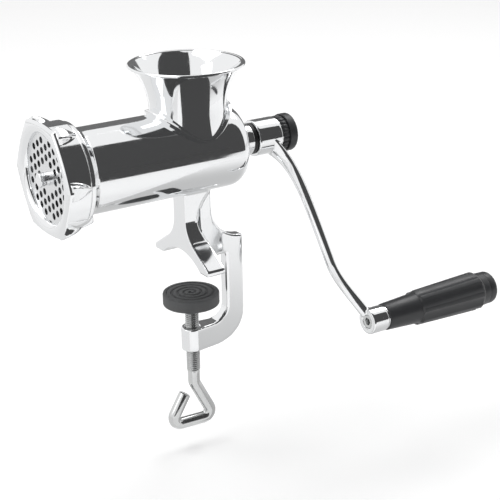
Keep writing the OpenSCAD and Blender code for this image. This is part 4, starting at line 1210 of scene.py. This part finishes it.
def card_shape(edge, first, last):
    """A card from its edge's two (distance, height) ends, between two azimuths in degrees."""
    def build(made):
        a = math.radians(first)
        ends = [made.verts.new((r * math.sin(a), -r * math.cos(a), z)) for r, z in edge]
        line = made.edges.new(ends)
        bmesh.ops.spin(made, geom=ends + [line], cent=(0, 0, 0), axis=(0, 0, 1),
                       angle=math.radians(last - first), steps=CARD_STEPS, use_merge=False)
    return build


def painted_shade_card_material(name, near, far, darkest):
    """A card that is grey near the grinder and fades to white: painted shade that the grinder stands
    in.
    """
    material, tree, output = new_material(name)
    spot = add_node(tree, "ShaderNodeTexCoord")
    distance = add_node(tree, "ShaderNodeVectorMath", {"operation": "LENGTH"}, {
        0: (spot, "Object")})
    level = add_node(tree, "ShaderNodeMapRange", {"interpolation_type": "SMOOTHSTEP"}, {
        "Value": (distance, "Value"), "From Min": near, "From Max": far,
        "To Min": darkest, "To Max": 1.0})
    glow = add_node(tree, "ShaderNodeEmission", inputs={"Strength": (level, "Result")})
    tree.links.new(glow.outputs["Emission"], output.inputs["Surface"])
    return material


dark_card = glow_material("dark_grey_card", "#1B1B1C", 0.06)
grey_card = glow_material("grey_card", "#3A3A3B", 0.14)
# painted shadow: a grey sheet on the floor to the right of the grinder, seen only in mirrors, where its
# shadow would lie
painted_shadow_card = painted_shade_card_material("painted_shadow_fading_grey_card", 0.17, 0.46, 0.6)
# painted shade: a pale grey sheet behind and to the left, seen only in mirrors, which dims the floor
# that the ring and plate reflect
painted_shade_pale_card = painted_shade_card_material("painted_shade_fading_pale_card", 0.3, 1.5, 0.86)
CARDS = {
    "card_wall": (((WALL_R, WALL_FOOT), (WALL_R, WALL_TOP)), -42, 60, dark_card),
    "card_wall_foot": (((WALL_R, FLOOR_Z), (WALL_R, WALL_FOOT)), -42, 31, dark_card),
    "card_flag": (((0.03, FLAG_Z), (0.22, FLAG_Z)), -44, 31, dark_card),
    "card_back": (((BACK_R, FLOOR_Z), (BACK_R, BACK_TOP)), 118, 165, grey_card),
    "card_soft": (((0.02, SHEET_Z), (0.5, SHEET_Z)), 32, 180, painted_shadow_card),
    "card_pale": (((0.02, SHEET_Z), (1.5, SHEET_Z)), 180, 300, painted_shade_pale_card),
}
for name, (edge, first, last, card_material) in CARDS.items():
    card = stage_mesh(name, card_shape(edge, first, last), card_material)
    card.visible_camera = False
    card.visible_diffuse = False
    card.visible_shadow = False
print("cards:", len(CARDS))


# %% [markdown]
# ## Finish
# The view transform stays plain, so that a colour renders as it is written.

# %% Sizes and the end
scene.view_settings.view_transform = "Standard"
print("construction box", cad_box)
